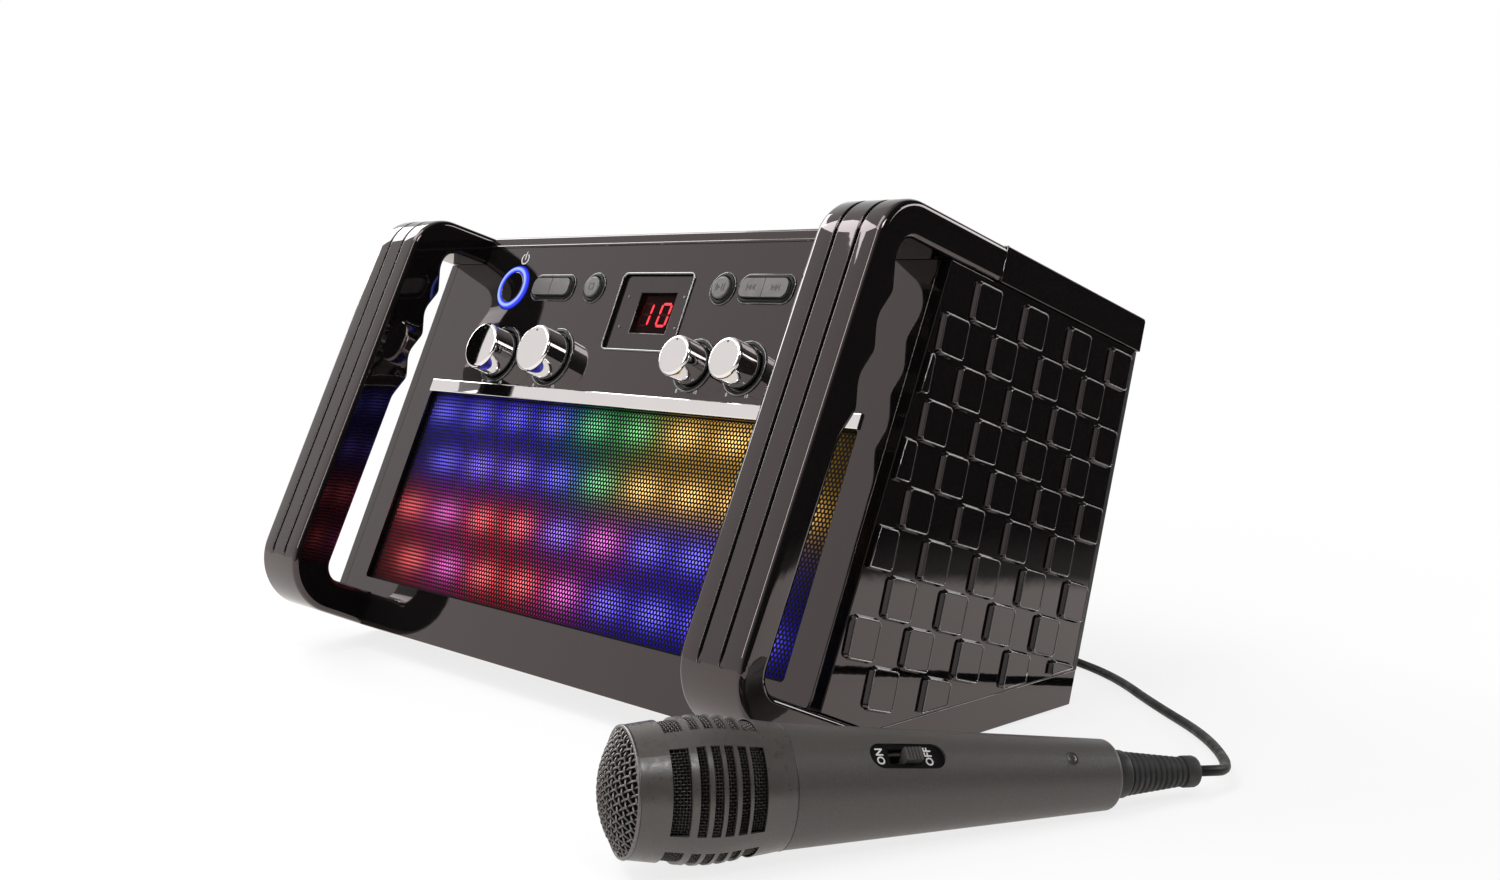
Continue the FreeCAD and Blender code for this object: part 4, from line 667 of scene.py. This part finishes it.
# Grille and the glow behind it
GRILLE_HALF, GRILLE_LOW, GRILLE_HIGH = 163.8, 26.2, 136.8
HOLE_PITCH_X, HOLE_PITCH_S = 2.19, 2.0
HOLE_SHARE = 0.66
SHEET_FRONT, SHEET_BACK = -2.0, -2.35
FILM_DEPTH = -4.9
LIGHT_PITCH, LIGHT_ROW_PITCH = 33.8, 28.5
LIGHT_SHIFT_X, LIGHT_SHIFT_S = -7.0, 3.0
SPOT_ACROSS, SPOT_UP = 0.35, 1.3
SPOT_REACH = 4000
CORE_SPREAD, HALO_SPREAD, WASH_SPREAD = 45, 180, 700
CORE_SHARE, HALO_SHARE, WASH_SHARE = 1.3, 0.47, 0.06
WHITE_SHARE = 0.26
LIGHT_COLOURS = {
    "blue": (0.035, 0.012, 1.0),
    "violet": (0.14, 0.045, 1.0),
    "green": (0.015, 0.5, 0.09),
    "amber": (1.0, 0.52, 0.05),
    "red": (1.0, 0.03, 0.025),
    "magenta": (0.8, 0.03, 0.55),
}
LIGHT_RUNS = (
    (("blue", 4), ("green", 2), ("amber", 3)),
    (("blue", 1), ("violet", 2), ("blue", 1), ("green", 1), ("amber", 4)),
    (("red", 1), ("magenta", 1), ("red", 2), ("violet", 1), ("magenta", 1), ("blue", 3)),
    (("red", 1), ("magenta", 1), ("red", 2), ("magenta", 1), ("blue", 4)),
)


def add_grille():
    """A perforated sheet of staggered six-sided holes in a plain frame."""
    shape = Shape()
    front, back = SHEET_FRONT, SHEET_BACK
    tall = HOLE_PITCH_S * 4 / 3
    half = HOLE_PITCH_X / 2
    left = [(0, tall / 2), (-half, tall / 4), (-half, -tall / 4)]
    cell = left + [(-x, -s) for x, s in left]
    shared = {}

    def outer(x, s, n):
        key = (round(x, 2), round(s, 2), n)
        if key not in shared:
            shared[key] = len(shape.points)
            shape.points.append((x, s, n))
        return shared[key]

    rows = int((GRILLE_HIGH - GRILLE_LOW - tall) / HOLE_PITCH_S) + 1
    columns = int(2 * GRILLE_HALF / HOLE_PITCH_X)
    first_s = (GRILLE_LOW + GRILLE_HIGH) / 2 - (rows - 1) / 2 * HOLE_PITCH_S
    for row in range(rows):
        s = first_s + row * HOLE_PITCH_S
        odd = row % 2
        for column in range(columns - odd):
            x = (column - (columns - 1 - odd) / 2) * HOLE_PITCH_X
            rim = [[outer(x + dx, s + ds, n) for dx, ds in cell] for n in (front, back)]
            hole = []
            for n in (front, back):
                start = len(shape.points)
                shape.points += [(x + dx * HOLE_SHARE, s + ds * HOLE_SHARE, n) for dx, ds in cell]
                hole.append(range(start, start + 6))
            for i in range(6):
                j = (i + 1) % 6
                shape.faces.append((rim[0][i], rim[0][j], hole[0][j], hole[0][i]))
                shape.faces.append((hole[0][i], hole[0][j], hole[1][j], hole[1][i]))
                shape.faces.append((rim[1][j], rim[1][i], hole[1][i], hole[1][j]))
    edge = 1.0
    proud = front + 0.1
    low, high, wide = GRILLE_LOW, GRILLE_HIGH, GRILLE_HALF
    for sides in (
        (-wide, wide, low, low + edge),
        (-wide, wide, high - edge, high),
        (-wide, -wide + edge, low + edge, high - edge),
        (wide - edge, wide, low + edge, high - edge),
    ):
        shape.prism(oblong(*sides), back - 0.1, proud)
    grille = piece("grille_mesh", shape, GRILLE, "case", FRONT, sharp=25)
    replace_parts(grille, "speaker_grille")


def lamps():
    """Place and colour of each lamp, in rows from the top, each row half a pitch from the next."""
    found = []
    middle = (GRILLE_LOW + GRILLE_HIGH) / 2
    for row, runs in enumerate(LIGHT_RUNS):
        s = LIGHT_SHIFT_S + middle + (1.5 - row) * LIGHT_ROW_PITCH
        shift = LIGHT_PITCH / 4 * (1 if row % 2 else -1)
        names = [name for name, count in runs for _ in range(count)]
        for column, name in enumerate(names):
            found.append((LIGHT_SHIFT_X + shift + (column - 4) * LIGHT_PITCH, s, LIGHT_COLOURS[name]))
    return found


def lamp_light(x, s, sources):
    """The light of all lamps at one point of the film."""
    light = Vector((0, 0, 0))
    for lamp_x, lamp_s, colour in sources:
        square = SPOT_ACROSS * (x - lamp_x) ** 2 + SPOT_UP * (s - lamp_s) ** 2
        if square > SPOT_REACH:
            continue
        core = exp(-square / CORE_SPREAD)
        halo = exp(-square / HALO_SPREAD)
        wash = exp(-square / WASH_SPREAD)
        light += Vector(colour) * (WASH_SHARE * wash + HALO_SHARE * halo + CORE_SHARE * core)
        light += Vector((1, 1, 1)) * (WHITE_SHARE * core)
    return light


def set_glow(obj, colours):
    """Gives each point of a piece the light that the film's finish shows."""
    attribute = obj.data.color_attributes.new("glow", "FLOAT_COLOR", "POINT")
    for entry, colour in zip(attribute.data, colours):
        entry.color = (*colour, 1)


def add_glow():
    """A diffuser film behind the grille, whose point colours are the light of the lamps."""
    step = 2.0
    columns = int(2 * GRILLE_HALF / step)
    rows = int((GRILLE_HIGH - GRILLE_LOW) / step)
    across = [-GRILLE_HALF + column * 2 * GRILLE_HALF / columns for column in range(columns + 1)]
    up = [GRILLE_LOW + row * (GRILLE_HIGH - GRILLE_LOW) / rows for row in range(rows + 1)]
    wide = columns + 1
    faces = [
        (r * wide + c, r * wide + c + 1, (r + 1) * wide + c + 1, (r + 1) * wide + c)
        for r in range(rows)
        for c in range(columns)
    ]
    shape = Shape().add([(x, s, FILM_DEPTH) for s in up for x in across], faces)
    film = piece("light_diffuser", shape, GLOW, "case", FRONT)
    sources = lamps()
    set_glow(film, [lamp_light(x, s, sources) for s in up for x in across])


add_grille()
add_glow()


# Display, knobs, rims and signs
def segment(name, width, height, bar):
    """Outline of one bar of a seven-bar digit, with pointed ends."""
    gap = 0.25
    mid = height / 2
    level = {"a": height - bar / 2, "g": mid, "d": bar / 2}
    if name in level:
        y = level[name]
        x0, x1 = bar / 2 + gap, width - bar / 2 - gap
        h = bar / 2
        return [(x0, y), (x0 + h, y - h), (x1 - h, y - h), (x1, y), (x1 - h, y + h), (x0 + h, y + h)]
    x = width - bar / 2 if name in "bc" else bar / 2
    y0, y1 = (mid + gap, height - bar / 2 - gap) if name in "bf" else (bar / 2 + gap, mid - gap)
    h = bar / 2
    return [(x, y0), (x + h, y0 + h), (x + h, y1 - h), (x, y1), (x - h, y1 - h), (x - h, y0 + h)]


def add_digits():
    """The number 10 in seven-bar digits, with the unlit bars as well."""
    width, height, bar, slant = 8.0, 13.2, 1.35, 0.09
    low = 182.0
    back, face = -3.7, -3.45
    for left, on in ((-6.6, "bc"), (7.0, "abcdef")):
        for lit_up in (True, False):
            names = [n for n in "abcdefg" if (n in on) == lit_up]
            shape = Shape()
            for name in names:
                bars = segment(name, width, height, bar)
                outline = [(left + x + slant * (y - height / 2), low + y) for x, y in bars]
                shape.prism(outline, back, face)
            kind = "lit" if lit_up else "dark"
            digit = "tens" if left < 0 else "ones"
            finish = DIGIT if lit_up else DIGIT_DARK
            piece(f"display_{digit}_{kind}", shape, finish, "case", FRONT)


def add_indicators():
    """Four small unlit lamps in the corners of the display's bezel."""
    shape = Shape()
    profile = [(0, -2.0), (0.8, -2.0), (0.8, -1.1), (0.65, -0.8), (0.35, -0.65), (0, -0.6)]
    for x, s in ((-17.5, 197.4), (25.3, 197.4), (-17.5, 180.7), (25.3, 180.7)):
        shape.lathe(profile, 20, (x, s))
    piece("display_lamps", shape, LAMP_GREY, "case", FRONT)


def arc_band(x, y, inner, outer, first, last):
    """Outline of a part of a ring, between two angles in degrees."""
    turns = [radians(first + (last - first) * i / 24) for i in range(25)]
    outside = [(x + outer * cos(t), y + outer * sin(t)) for t in turns]
    inside = [(x + inner * cos(t), y + inner * sin(t)) for t in reversed(turns)]
    return outside + inside


def shifted(outline, x, y, flip):
    """An outline at another place, mirrored if flip is -1."""
    moved = [(x + flip * a, y + b) for a, b in outline]
    return moved if flip > 0 else moved[::-1]


BUTTON_ROW = 201.5
BUTTON_TOP = 2.5
KNOB_ROW = 161.5
KNOBS = {
    "mic_volume": (-109.5, 13.5),
    "master_volume": (-62.5, 13.5),
    "echo": (49.0, 10.75),
    "balance": (84.0, 10.75),
}
POWER_X, POWER_RADIUS = -119.0, 9.6
POWER_SIGN_X, POWER_SIGN_ROW = -117.1, 219.0
STOP_X, PLAY_X = -46.5, 52.5
FUNCTION_X, SKIP_X = -82.0, 82.0
SKIP_HALF = 7.9
WINDOW_X, WINDOW_ROW = 2.5, 188.75


def add_symbols():
    """Plain player symbols on the buttons, and a power sign above the lit ring."""
    triangle = [(-3.1, -2.0), (0.3, 0), (-3.1, 2.0)]
    play = [triangle, oblong(0.9, 1.6, -2, 2), oblong(2.4, 3.1, -2, 2)]
    stop = [oblong(-1.9, 1.9, -1.9, -1.4), oblong(-1.9, 1.9, 1.4, 1.9), oblong(-1.9, -1.4, -1.4, 1.4)]
    stop.append(oblong(1.4, 1.9, -1.4, 1.4))
    skip = [[(-2.6, -1.7), (0, 0), (-2.6, 1.7)], [(0, -1.7), (2.6, 0), (0, 1.7)], oblong(2.7, 3.3, -1.7, 1.7)]
    marks = {
        "play_button": (PLAY_X, play, 1),
        "stop_button": (STOP_X, stop, 1),
        "skip_back_button": (SKIP_X - SKIP_HALF, skip, -1),
        "skip_forward_button": (SKIP_X + SKIP_HALF, skip, 1),
    }
    for body, (x, outlines, flip) in marks.items():
        shape = Shape()
        for outline in outlines:
            shape.prism(shifted(outline, x, BUTTON_ROW, flip), BUTTON_TOP - 0.05, BUTTON_TOP + 0.06)
        piece(f"{body}_sign", shape, DARK_PRINT_AND_SHADE, body, FRONT)
    x, s = POWER_SIGN_X, POWER_SIGN_ROW
    shape = Shape()
    for outline in (arc_band(x, s, 2.7, 3.4, 120, 420), oblong(x - 0.35, x + 0.35, s - 0.4, s + 4.4)):
        shape.prism(outline, -0.02, 0.06)
    piece("power_sign", shape, PRINT, "case", FRONT)


def text_piece(name, text, size, place, body):
    """Plain white lettering as a thin mesh, centred in a local frame's XY plane."""
    curve = bpy.data.curves.new(name, "FONT")
    curve.body = text
    curve.size = size
    curve.align_x = "CENTER"
    curve.align_y = "CENTER"
    curve.extrude = 0.04
    curve.offset = 0.02 * size
    curve.resolution_u = 3
    mesh = curve_mesh(name, curve)
    mesh.transform(place)
    mesh.materials.append(PRINT)
    letters = link(bpy.data.objects.new(name, mesh))
    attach(letters, body)


def add_dial_numbers():
    """The ends of each knob's turn, marked 0 and 10 below it."""
    for name, (x, reach) in KNOBS.items():
        for text, side in (("0", -1), ("10", 1)):
            at = Matrix.Translation((x + side * reach * 0.62, KNOB_ROW - reach - 2.6, 0.03))
            text_piece(f"{name}_dial_{text}", text, 2.6, FRONT @ at, "case")


def add_knobs():
    """Turned caps with a dot on the face, each in a low rim on the panel that is matte black as painted shade
    of the recess round the knob.
    """
    foot, top, bevel = 0.6, 14.8, 2.0
    dot_profile = [(0, top - 0.3), (0.6, top - 0.3), (0.6, top + 0.14), (0, top + 0.15)]
    rise = [(0.6, -0.1), (0.75, 0.3), (1.15, 0.7), (1.6, 0.85), (2.05, 0.7), (2.4, 0.3), (2.5, -0.1)]
    rims = Shape()
    for name, (x, radius) in KNOBS.items():
        flat = radius - 0.4 - bevel
        arc = [radians(7.5 * k) for k in range(13)]
        profile = [(0, foot), (radius - 0.3, foot), (radius, foot + 0.3)]
        profile += [(flat + bevel * cos(a), top - bevel + bevel * sin(a)) for a in arc]
        profile += [(flat * share, top + 0.35 * (1 - share**2)) for share in (0.9, 0.75, 0.6, 0.4, 0.2, 0)]
        cap = Shape().lathe(profile, 128, (x, KNOB_ROW))
        body = f"{name}_knob"
        knob = piece(f"{name}_cap", cap, CHROME, body, FRONT)
        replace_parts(knob, body)
        dot = Shape().lathe(dot_profile, 20, (x, KNOB_ROW + 0.72 * radius))
        piece(f"{name}_dot", dot, DARK_PRINT_AND_SHADE, body, FRONT)
        rims.lathe([(radius + out, height) for out, height in rise], 96, (x, KNOB_ROW))
    # The rims are matte black as painted shade of the recess round each knob's base.
    piece("knob_wells", rims, BLACK_AND_PAINTED_SHADE, "case", FRONT)


def rounded_line(x, y, half_x, half_y, radius):
    """A closed line round a rounded rectangle on the panel, or round a circle."""
    line = []
    for quarter in range(4):
        side_x = 1 if quarter in (0, 3) else -1
        side_y = 1 if quarter < 2 else -1
        for k in range(13):
            angle = radians(90 * quarter + 7.5 * k)
            across = x + side_x * (half_x - radius) + radius * cos(angle)
            line.append(Vector((across, y + side_y * (half_y - radius) + radius * sin(angle), 0.2)))
    return line


def add_rims():
    """Thin gloss rims round the window and round the wells of the knobs and buttons."""
    frame_line = rounded_line(WINDOW_X, WINDOW_ROW, 27.3, 21.0, 3.0)
    shape = Shape().wire(frame_line, 0.6, 10, closed=True)
    piece("window_rim", shape, RIM, "case", FRONT, sharp=60)
    shape = Shape()
    for x, radius in KNOBS.values():
        out = radius + 2.6
        shape.wire(rounded_line(x, KNOB_ROW, out, out, out), 0.6, 10, closed=True)
    for x in (STOP_X, PLAY_X):
        shape.wire(rounded_line(x, BUTTON_ROW, 8.3, 8.3, 8.3), 0.5, 10, closed=True)
    for x in (FUNCTION_X, SKIP_X):
        shape.wire(rounded_line(x, BUTTON_ROW, 18.3, 7.3, 6.0), 0.5, 10, closed=True)
    piece("well_rims", shape, WELL_RIM, "case", FRONT, sharp=60)


def add_power_ring():
    """The lit ring: pale in the middle of its band and deep blue at its rims; on the panel round it, a
    painted glow of its light in deep blue fading to none.
    """
    bands = [(-0.4, 0.9, 0.0), (0.1, 1.25, 0.1), (0.7, 1.5, 0.6), (1.35, 1.6, 1.0)]
    # The last two bands lie flat on the panel: their deep blue, fading to none, is painted glow of the ring's
    # light.
    bands += [(2.0, 1.5, 0.7), (2.6, 1.25, 0.1), (2.75, 0.05, 0.05), (3.9, 0.04, 0.0)]
    segments = 96
    profile = [(POWER_RADIUS + out, height) for out, height, _ in bands]
    shape = Shape().lathe(profile, segments, (POWER_X, BUTTON_ROW))
    ring = piece("power_ring_light", shape, GLOW, "case", FRONT)
    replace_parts(ring, "power_ring")
    deep, pale, dark = Vector((0.01, 0.02, 1.0)), Vector((0.5, 0.68, 1.9)), Vector((0, 0, 0))
    colours = []
    for out, _, share in bands:
        rim = deep if out < 3 else dark
        colours += [rim.lerp(pale, share)] * segments
    set_glow(ring, colours)


def panel_height_at(depth):
    """How far up the front panel a plane lies that runs below the cover's top by this depth."""
    to_box = BOX.inverted() @ FRONT
    low = (to_box @ Vector((0, 0, 0))).z
    rise = (to_box @ Vector((0, 1, 0))).z - low
    return (-depth - low) / rise


def add_panel_bead():
    """The rounded upper edge of the front panel, a little proud below the cover."""
    depth, half = 5.9, 152.8
    s = panel_height_at(depth)
    line = [Vector((-half + 2 * half * k / 8, s, 0.1)) for k in range(9)]
    shape = Shape().wire(line, 0.8, 16)
    piece("panel_top_edge", shape, PANEL, "case", FRONT)


add_knobs()
add_rims()
add_power_ring()
add_panel_bead()
add_digits()
add_indicators()
add_symbols()
add_dial_numbers()


# Microphone, and the feet of the machine
def woven_dome():
    """Crimped wire mesh, over and under, on the shallow dome at the microphone's tip."""
    shape = Shape()
    pitch = 2.35
    thin = 0.38
    rim = MIC_RIM_RADIUS - 0.5
    count = int(rim / pitch)
    turn = Matrix.Rotation(radians(12), 3, "Z")
    for family in (1, -1):
        for i in range(-count, count + 1):
            across = i * pitch
            reach = sqrt(rim**2 - across**2)
            steps = max(8, int(2 * reach / pitch * 6))
            line = []
            for k in range(steps + 1):
                along = -reach + 2 * reach * k / steps
                flat = Vector((across, along, 0)) if family > 0 else Vector((along, across, 0))
                height = DOME_RADIUS - sqrt(DOME_RADIUS**2 - across**2 - along**2)
                outward = Vector((flat.x, flat.y, height - DOME_RADIUS)).normalized()
                lift = family * thin * 0.95 * cos(pi * (along / pitch + i)) - thin
                line.append(turn @ (Vector((flat.x, flat.y, height)) + outward * lift))
            shape.wire(line, thin)
    shape.wire(circle(rim, MIC_RIM_AT - 0.6), 0.7, 8, closed=True)
    dome = piece("mic_dome_weave", shape, MESH, "microphone", MIC, sharp=60)
    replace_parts(dome, "mic_grille")


def handle_radius(at):
    """Outer radius of the microphone's handle."""
    share = (at - MIC_NECK_AT) / (MIC_TAIL_AT - MIC_NECK_AT)
    return MIC_NECK_RADIUS + (MIC_TAIL_RADIUS - MIC_NECK_RADIUS) * share


def head_radius(at):
    """Outer radius of the microphone's head."""
    first, last = (MIC_RIM_AT, MIC_RIM_RADIUS), (MIC_WIDEST_AT, MIC_WIDEST_RADIUS)
    if at > MIC_WIDEST_AT:
        first, last = last, (MIC_NECK_AT, MIC_NECK_RADIUS)
    return first[1] + (last[1] - first[1]) * (at - first[0]) / (last[0] - first[0])


def woven_sleeve():
    """Fine wire mesh behind the slots of the head."""
    shape = Shape()
    thin, inside = 0.2, 1.3
    low, high = 17.0, 53.5
    uprights, rings = 132, 34

    def point(turn, step, lift):
        """A point of a wire, counted in half meshes round the head and along it."""
        angle = pi * turn / uprights
        z = low + (high - low) * step / (2 * rings)
        r = head_radius(z) - inside + lift * cos(pi * (turn + step) / 2)
        return Vector((r * cos(angle), r * sin(angle), z))

    for i in range(uprights):
        shape.wire([point(2 * i, k, thin) for k in range(2 * rings + 1)], thin, 4)
    for k in range(1, rings):
        shape.wire([point(i, 2 * k, -thin) for i in range(2 * uprights)], thin, 4, closed=True)
    piece("mic_inner_weave", shape, SLEEVE, "microphone", MIC, sharp=80)


def add_boot():
    """The rubber strain relief, with rounded ribs."""
    ribs = 10
    pitch = (BOOT_FLANGE_AT - BOOT_RIBS_AT) / ribs
    widest, narrowest = 8.4, 5.8
    profile = [(0, 195.5), (7.2, 195.5), (7.2, 200.4), (9.0, 200.4)]
    profile += [(9.3, 200.8), (9.15, 206.6), (8.9, 207.3), (8.0, 207.8)]
    for rib in range(ribs):
        top = widest + (narrowest - widest) * rib / (ribs - 1)
        for k in range(8):
            share = k / 8
            depth = 0.85 * max(0.0, cos(2 * pi * share)) ** 0.6
            profile.append((top - depth, BOOT_RIBS_AT + (rib + share) * pitch + 0.15))
    profile += [(5.1, 234.5), (6.0, 234.8), (6.2, 235.4), (6.2, 239.6)]
    profile += [(5.9, 240.5), (5.2, 241.0), (2.2, 241.0), (0, 240.8)]
    shape = Shape().lathe(profile, 72)
    boot = piece("mic_cord_boot", shape, RUBBER, "microphone", MIC, sharp=50)
    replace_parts(boot, "mic_boot")


def mic_surface(angle, at):
    """A frame on the microphone's handle: X along the body, Z out of it, angle from the switch."""
    slope = atan((MIC_NECK_RADIUS - MIC_TAIL_RADIUS) / (MIC_TAIL_AT - MIC_NECK_AT))
    turn = radians(angle)
    radial, axis = Vector((cos(turn), sin(turn), 0)), Vector((0, 0, 1))
    out = radial * cos(slope) + axis * sin(slope)
    along = axis * cos(slope) - radial * sin(slope)
    frame_turn = Matrix((along, out.cross(along), out)).transposed().to_4x4()
    return MIC @ Matrix.Translation(radial * handle_radius(at) + axis * at) @ frame_turn


def add_foam():
    """The dark foam behind the mesh, which blocks the view through the head."""
    radius, start, end = 20.0, 16.5, 54.0
    inside = 1.9
    steps = [radius * k / 12 for k in range(13)]
    profile = [(r, inside + DOME_RADIUS - sqrt(DOME_RADIUS**2 - r**2)) for r in steps]
    profile += [(head_radius(at) - inside, at) for at in (start, MIC_WIDEST_AT, end)] + [(0, end)]
    shape = Shape().lathe(profile, 64)
    piece("mic_foam", shape, FOAM, "microphone", MIC)


SWITCH_PLATE_FROM, SWITCH_PLATE_TO = 93.4, 123.7
SWITCH_SLOT_FROM, SWITCH_SLOT_TO = 101.1, 113.9
SWITCH_PLATE_HALF, SWITCH_SLOT_HALF = 4.9, 2.9
SWITCH_PLATE_DROP = 1.1
SWITCH_PLATE_BOTTOM = 16.3


def add_switch_plate():
    """The black plate of the switch, sunk into the handle, with the slot that the switch runs in."""
    half, slot = SWITCH_PLATE_HALF, SWITCH_SLOT_HALF
    shape = Shape()
    quarter = [radians(11.25 * k) for k in range(9)]
    end = [(half * sin(a), half * (1 - cos(a))) for a in quarter]
    low, high = SWITCH_PLATE_FROM, SWITCH_PLATE_TO
    first = [(y, low + z) for y, z in end] + [(half, SWITCH_SLOT_FROM), (-half, SWITCH_SLOT_FROM)]
    first += [(-y, low + z) for y, z in reversed(end[1:])]
    last = [(-y, high - z) for y, z in end] + [(-half, SWITCH_SLOT_TO), (half, SWITCH_SLOT_TO)]
    last += [(y, high - z) for y, z in reversed(end[1:])]
    span = (SWITCH_SLOT_FROM, SWITCH_SLOT_TO)
    rails = [oblong(slot, half, *span), oblong(-half, -slot, *span)]
    for outline in (first, last, *rails):
        count = len(outline)
        points = [(SWITCH_PLATE_BOTTOM, y, z) for y, z in outline]
        points += [(handle_radius(z) - SWITCH_PLATE_DROP, y, z) for y, z in outline]
        shape.add(points, [tuple(range(count, 2 * count)), *band(0, count, count)])
    piece("mic_switch_plate", shape, BLACK_AND_PAINTED_SHADE, "microphone", MIC)


def add_mic_seam():
    """The dark joint between the head and the handle."""
    shape = Shape().wire(circle(MIC_NECK_RADIUS - 0.1, MIC_NECK_AT), 0.28, 8, closed=True)
    piece("mic_neck_seam", shape, DARK_PRINT_AND_SHADE, "microphone", MIC)


def add_mic_details():
    """The words of the switch, and the screw in the handle, with painted shade for the screw's hole and the
    cross in its head.
    """
    turn = Matrix.Translation((0, 0, 0.03 - SWITCH_PLATE_DROP)) @ Matrix.Rotation(pi / 2, 4, "Z")
    for text, at in (("ON", 97.8), ("OFF", 117.3)):
        place = mic_surface(0, at) @ turn
        text_piece(f"mic_switch_{text.lower()}", text, 4.2, place, "microphone")
    screw_place = mic_surface(3, 178)
    # A flat dark ring on the surface is painted shadow of the hole that the screw sits in.
    hole = Shape().lathe([(1.9, 0.0), (2.0, 0.05), (2.5, 0.05), (2.6, -0.05)], 32)
    piece("mic_screw_hole_shadow", hole, DARK_PRINT_AND_SHADE, "microphone", screw_place)
    head = Shape().lathe([(0, -0.6), (1.95, -0.6), (1.95, -0.1), (1.7, 0.1), (1.0, 0.2), (0, 0.22)], 28)
    piece("mic_screw", head, SCREW, "microphone", screw_place)
    # The dark cross on the head is painted shade of the screw's cross recess.
    cross = Shape().prism(oblong(-1.2, 1.2, -0.2, 0.2), 0.15, 0.25)
    cross.prism(oblong(-0.2, 0.2, -1.2, 1.2), 0.15, 0.255)
    piece("mic_screw_cross_shade", cross, DARK_PRINT_AND_SHADE, "microphone", screw_place)


def add_feet():
    """Soft feet with a raised ring, one at each corner and one in the middle."""
    radius = 9
    profile = [(0, 0.25), (5.5, 0.25), (6.2, 0), (8.6, 0), (8.95, 0.25), (radius, 1.0), (0, 1.0)]
    low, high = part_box("rubber_feet")
    across = (high.x - low.x) / 2 / MM - radius
    centres = [(x, y) for x in (-across, across) for y in (low.y / MM + radius, high.y / MM - radius)]
    shape = Shape()
    for centre in (*centres, (0, 0)):
        shape.lathe(profile, 48, centre)
    feet = piece("soft_feet", shape, RUBBER, "case", Matrix.Scale(MM, 4))
    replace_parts(feet, "rubber_feet")


woven_dome()
woven_sleeve()
add_foam()
add_boot()
add_switch_plate()
add_mic_seam()
add_mic_details()
add_feet()


# Studio
def area_light(name, location, target, size, power):
    """A soft lamp that faces a target."""
    data = bpy.data.lights.new(name, "AREA")
    data.shape = "RECTANGLE"
    data.size, data.size_y = size
    data.energy = power
    lamp = link(bpy.data.objects.new(name, data))
    lamp.location = location
    lamp.rotation_euler = (Vector(target) - Vector(location)).to_track_quat("-Z", "Y").to_euler()


def add_floor():
    """A white table that keeps a soft shadow, and ends behind the object on the right."""
    half = 6.0
    mesh = bpy.data.meshes.new("floor")
    mesh.from_pydata([(x, y, 0) for x, y in oblong(-half, half, -half, half)], [], [(0, 1, 2, 3)])
    finish, tree, shader = new_finish("floor_white")
    set_inputs(shader, {"Base Color": (0.8, 0.8, 0.8, 1), "Roughness": 0.9, "Specular IOR Level": 0.0})
    place = tree.place("Object")
    back = tree.vector_math("DOT_PRODUCT", place, (0.6, 0.8, 0))
    strength = tree.nodes.new("ShaderNodeMix")
    strength.data_type = "FLOAT"
    strength.inputs["B"].default_value = 1.0
    camera_ray = tree.rays("Is Camera Ray")
    tree.link(camera_ray, strength.inputs["Factor"])
    tree.link(tree.map_range(back, 0.455, 0.515, 1.15, 0.03), strength.inputs["A"])
    emission = tree.nodes.new("ShaderNodeEmission")
    tree.link(strength.outputs["Result"], emission.inputs["Strength"])
    tree.link(tree.colour(camera_ray, (1.0, 0.96, 0.92), (1, 1, 1)), emission.inputs["Color"])
    away = tree.vector_math("LENGTH", place)
    seen = tree.rays("Is Camera Ray", "Is Glossy Ray", "Is Transmission Ray")
    share = tree.math("MULTIPLY", seen, tree.map_range(away, 0.4, 0.75, 0.8, 1.0))
    tree.mix_shaders(share, shader.outputs["BSDF"], emission.outputs["Emission"], "Material Output")
    mesh.materials.append(finish)
    link(bpy.data.objects.new("floor", mesh))


def add_world():
    """White for the camera and in reflections of the left rear, else a studio lit from the front left."""
    world = bpy.data.worlds.new("studio")
    world.use_nodes = True
    bpy.context.scene.world = world
    tree = Tree(world.node_tree)
    backdrop = tree.nodes["Background"]
    backdrop.inputs["Color"].default_value = (1, 1, 1, 1)
    place = tree.place("Generated")
    front = tree.vector_math("DOT_PRODUCT", place, Vector((-0.72, -0.56, 0.4)).normalized())
    studio = tree.nodes.new("ShaderNodeBackground")
    studio.inputs["Color"].default_value = (1.0, 0.96, 0.955, 1)
    tree.link(tree.map_range(front, -0.1, 0.75, 0.03, 0.9), studio.inputs["Strength"])
    behind = tree.vector_math("DOT_PRODUCT", place, Vector((-0.74, 0.67, 0.1)).normalized())
    mirror = tree.rays("Is Glossy Ray", "Is Transmission Ray")
    mirrored = tree.math("MULTIPLY", tree.map_range(behind, 0.66, 0.78, 0.0, 1.0), mirror)
    seen = tree.math("MAXIMUM", mirrored, tree.rays("Is Camera Ray"))
    tree.mix_shaders(seen, studio.outputs["Background"], backdrop.outputs["Background"], "World Output")


add_floor()
add_world()
area_light("key", (-0.1, -0.75, 1.7), (0, -0.05, 0.1), (0.8, 0.8), 9)
area_light("left", (-1.28, -0.03, 0.88), (0.1, -0.1, 0.15), (0.65, 0.95), 14)
area_light("bend", (-0.7, -0.47, 1.1), (0.17, -0.11, 0.21), (0.5, 0.27), 2.8)
area_light("right", (0.86, -0.33, 1.05), (0.22, -0.2, 0.04), (0.25, 0.25), 3)
area_light("rear", (0.9, 1.2, 0.6), (0.1, 0, 0.1), (0.9, 0.5), 8)
area_light("front", (0.1, -1.15, 0.95), (0.17, -0.12, 0.15), (0.12, 0.9), 3.5)

bpy.context.scene.view_settings.view_transform = "Standard"
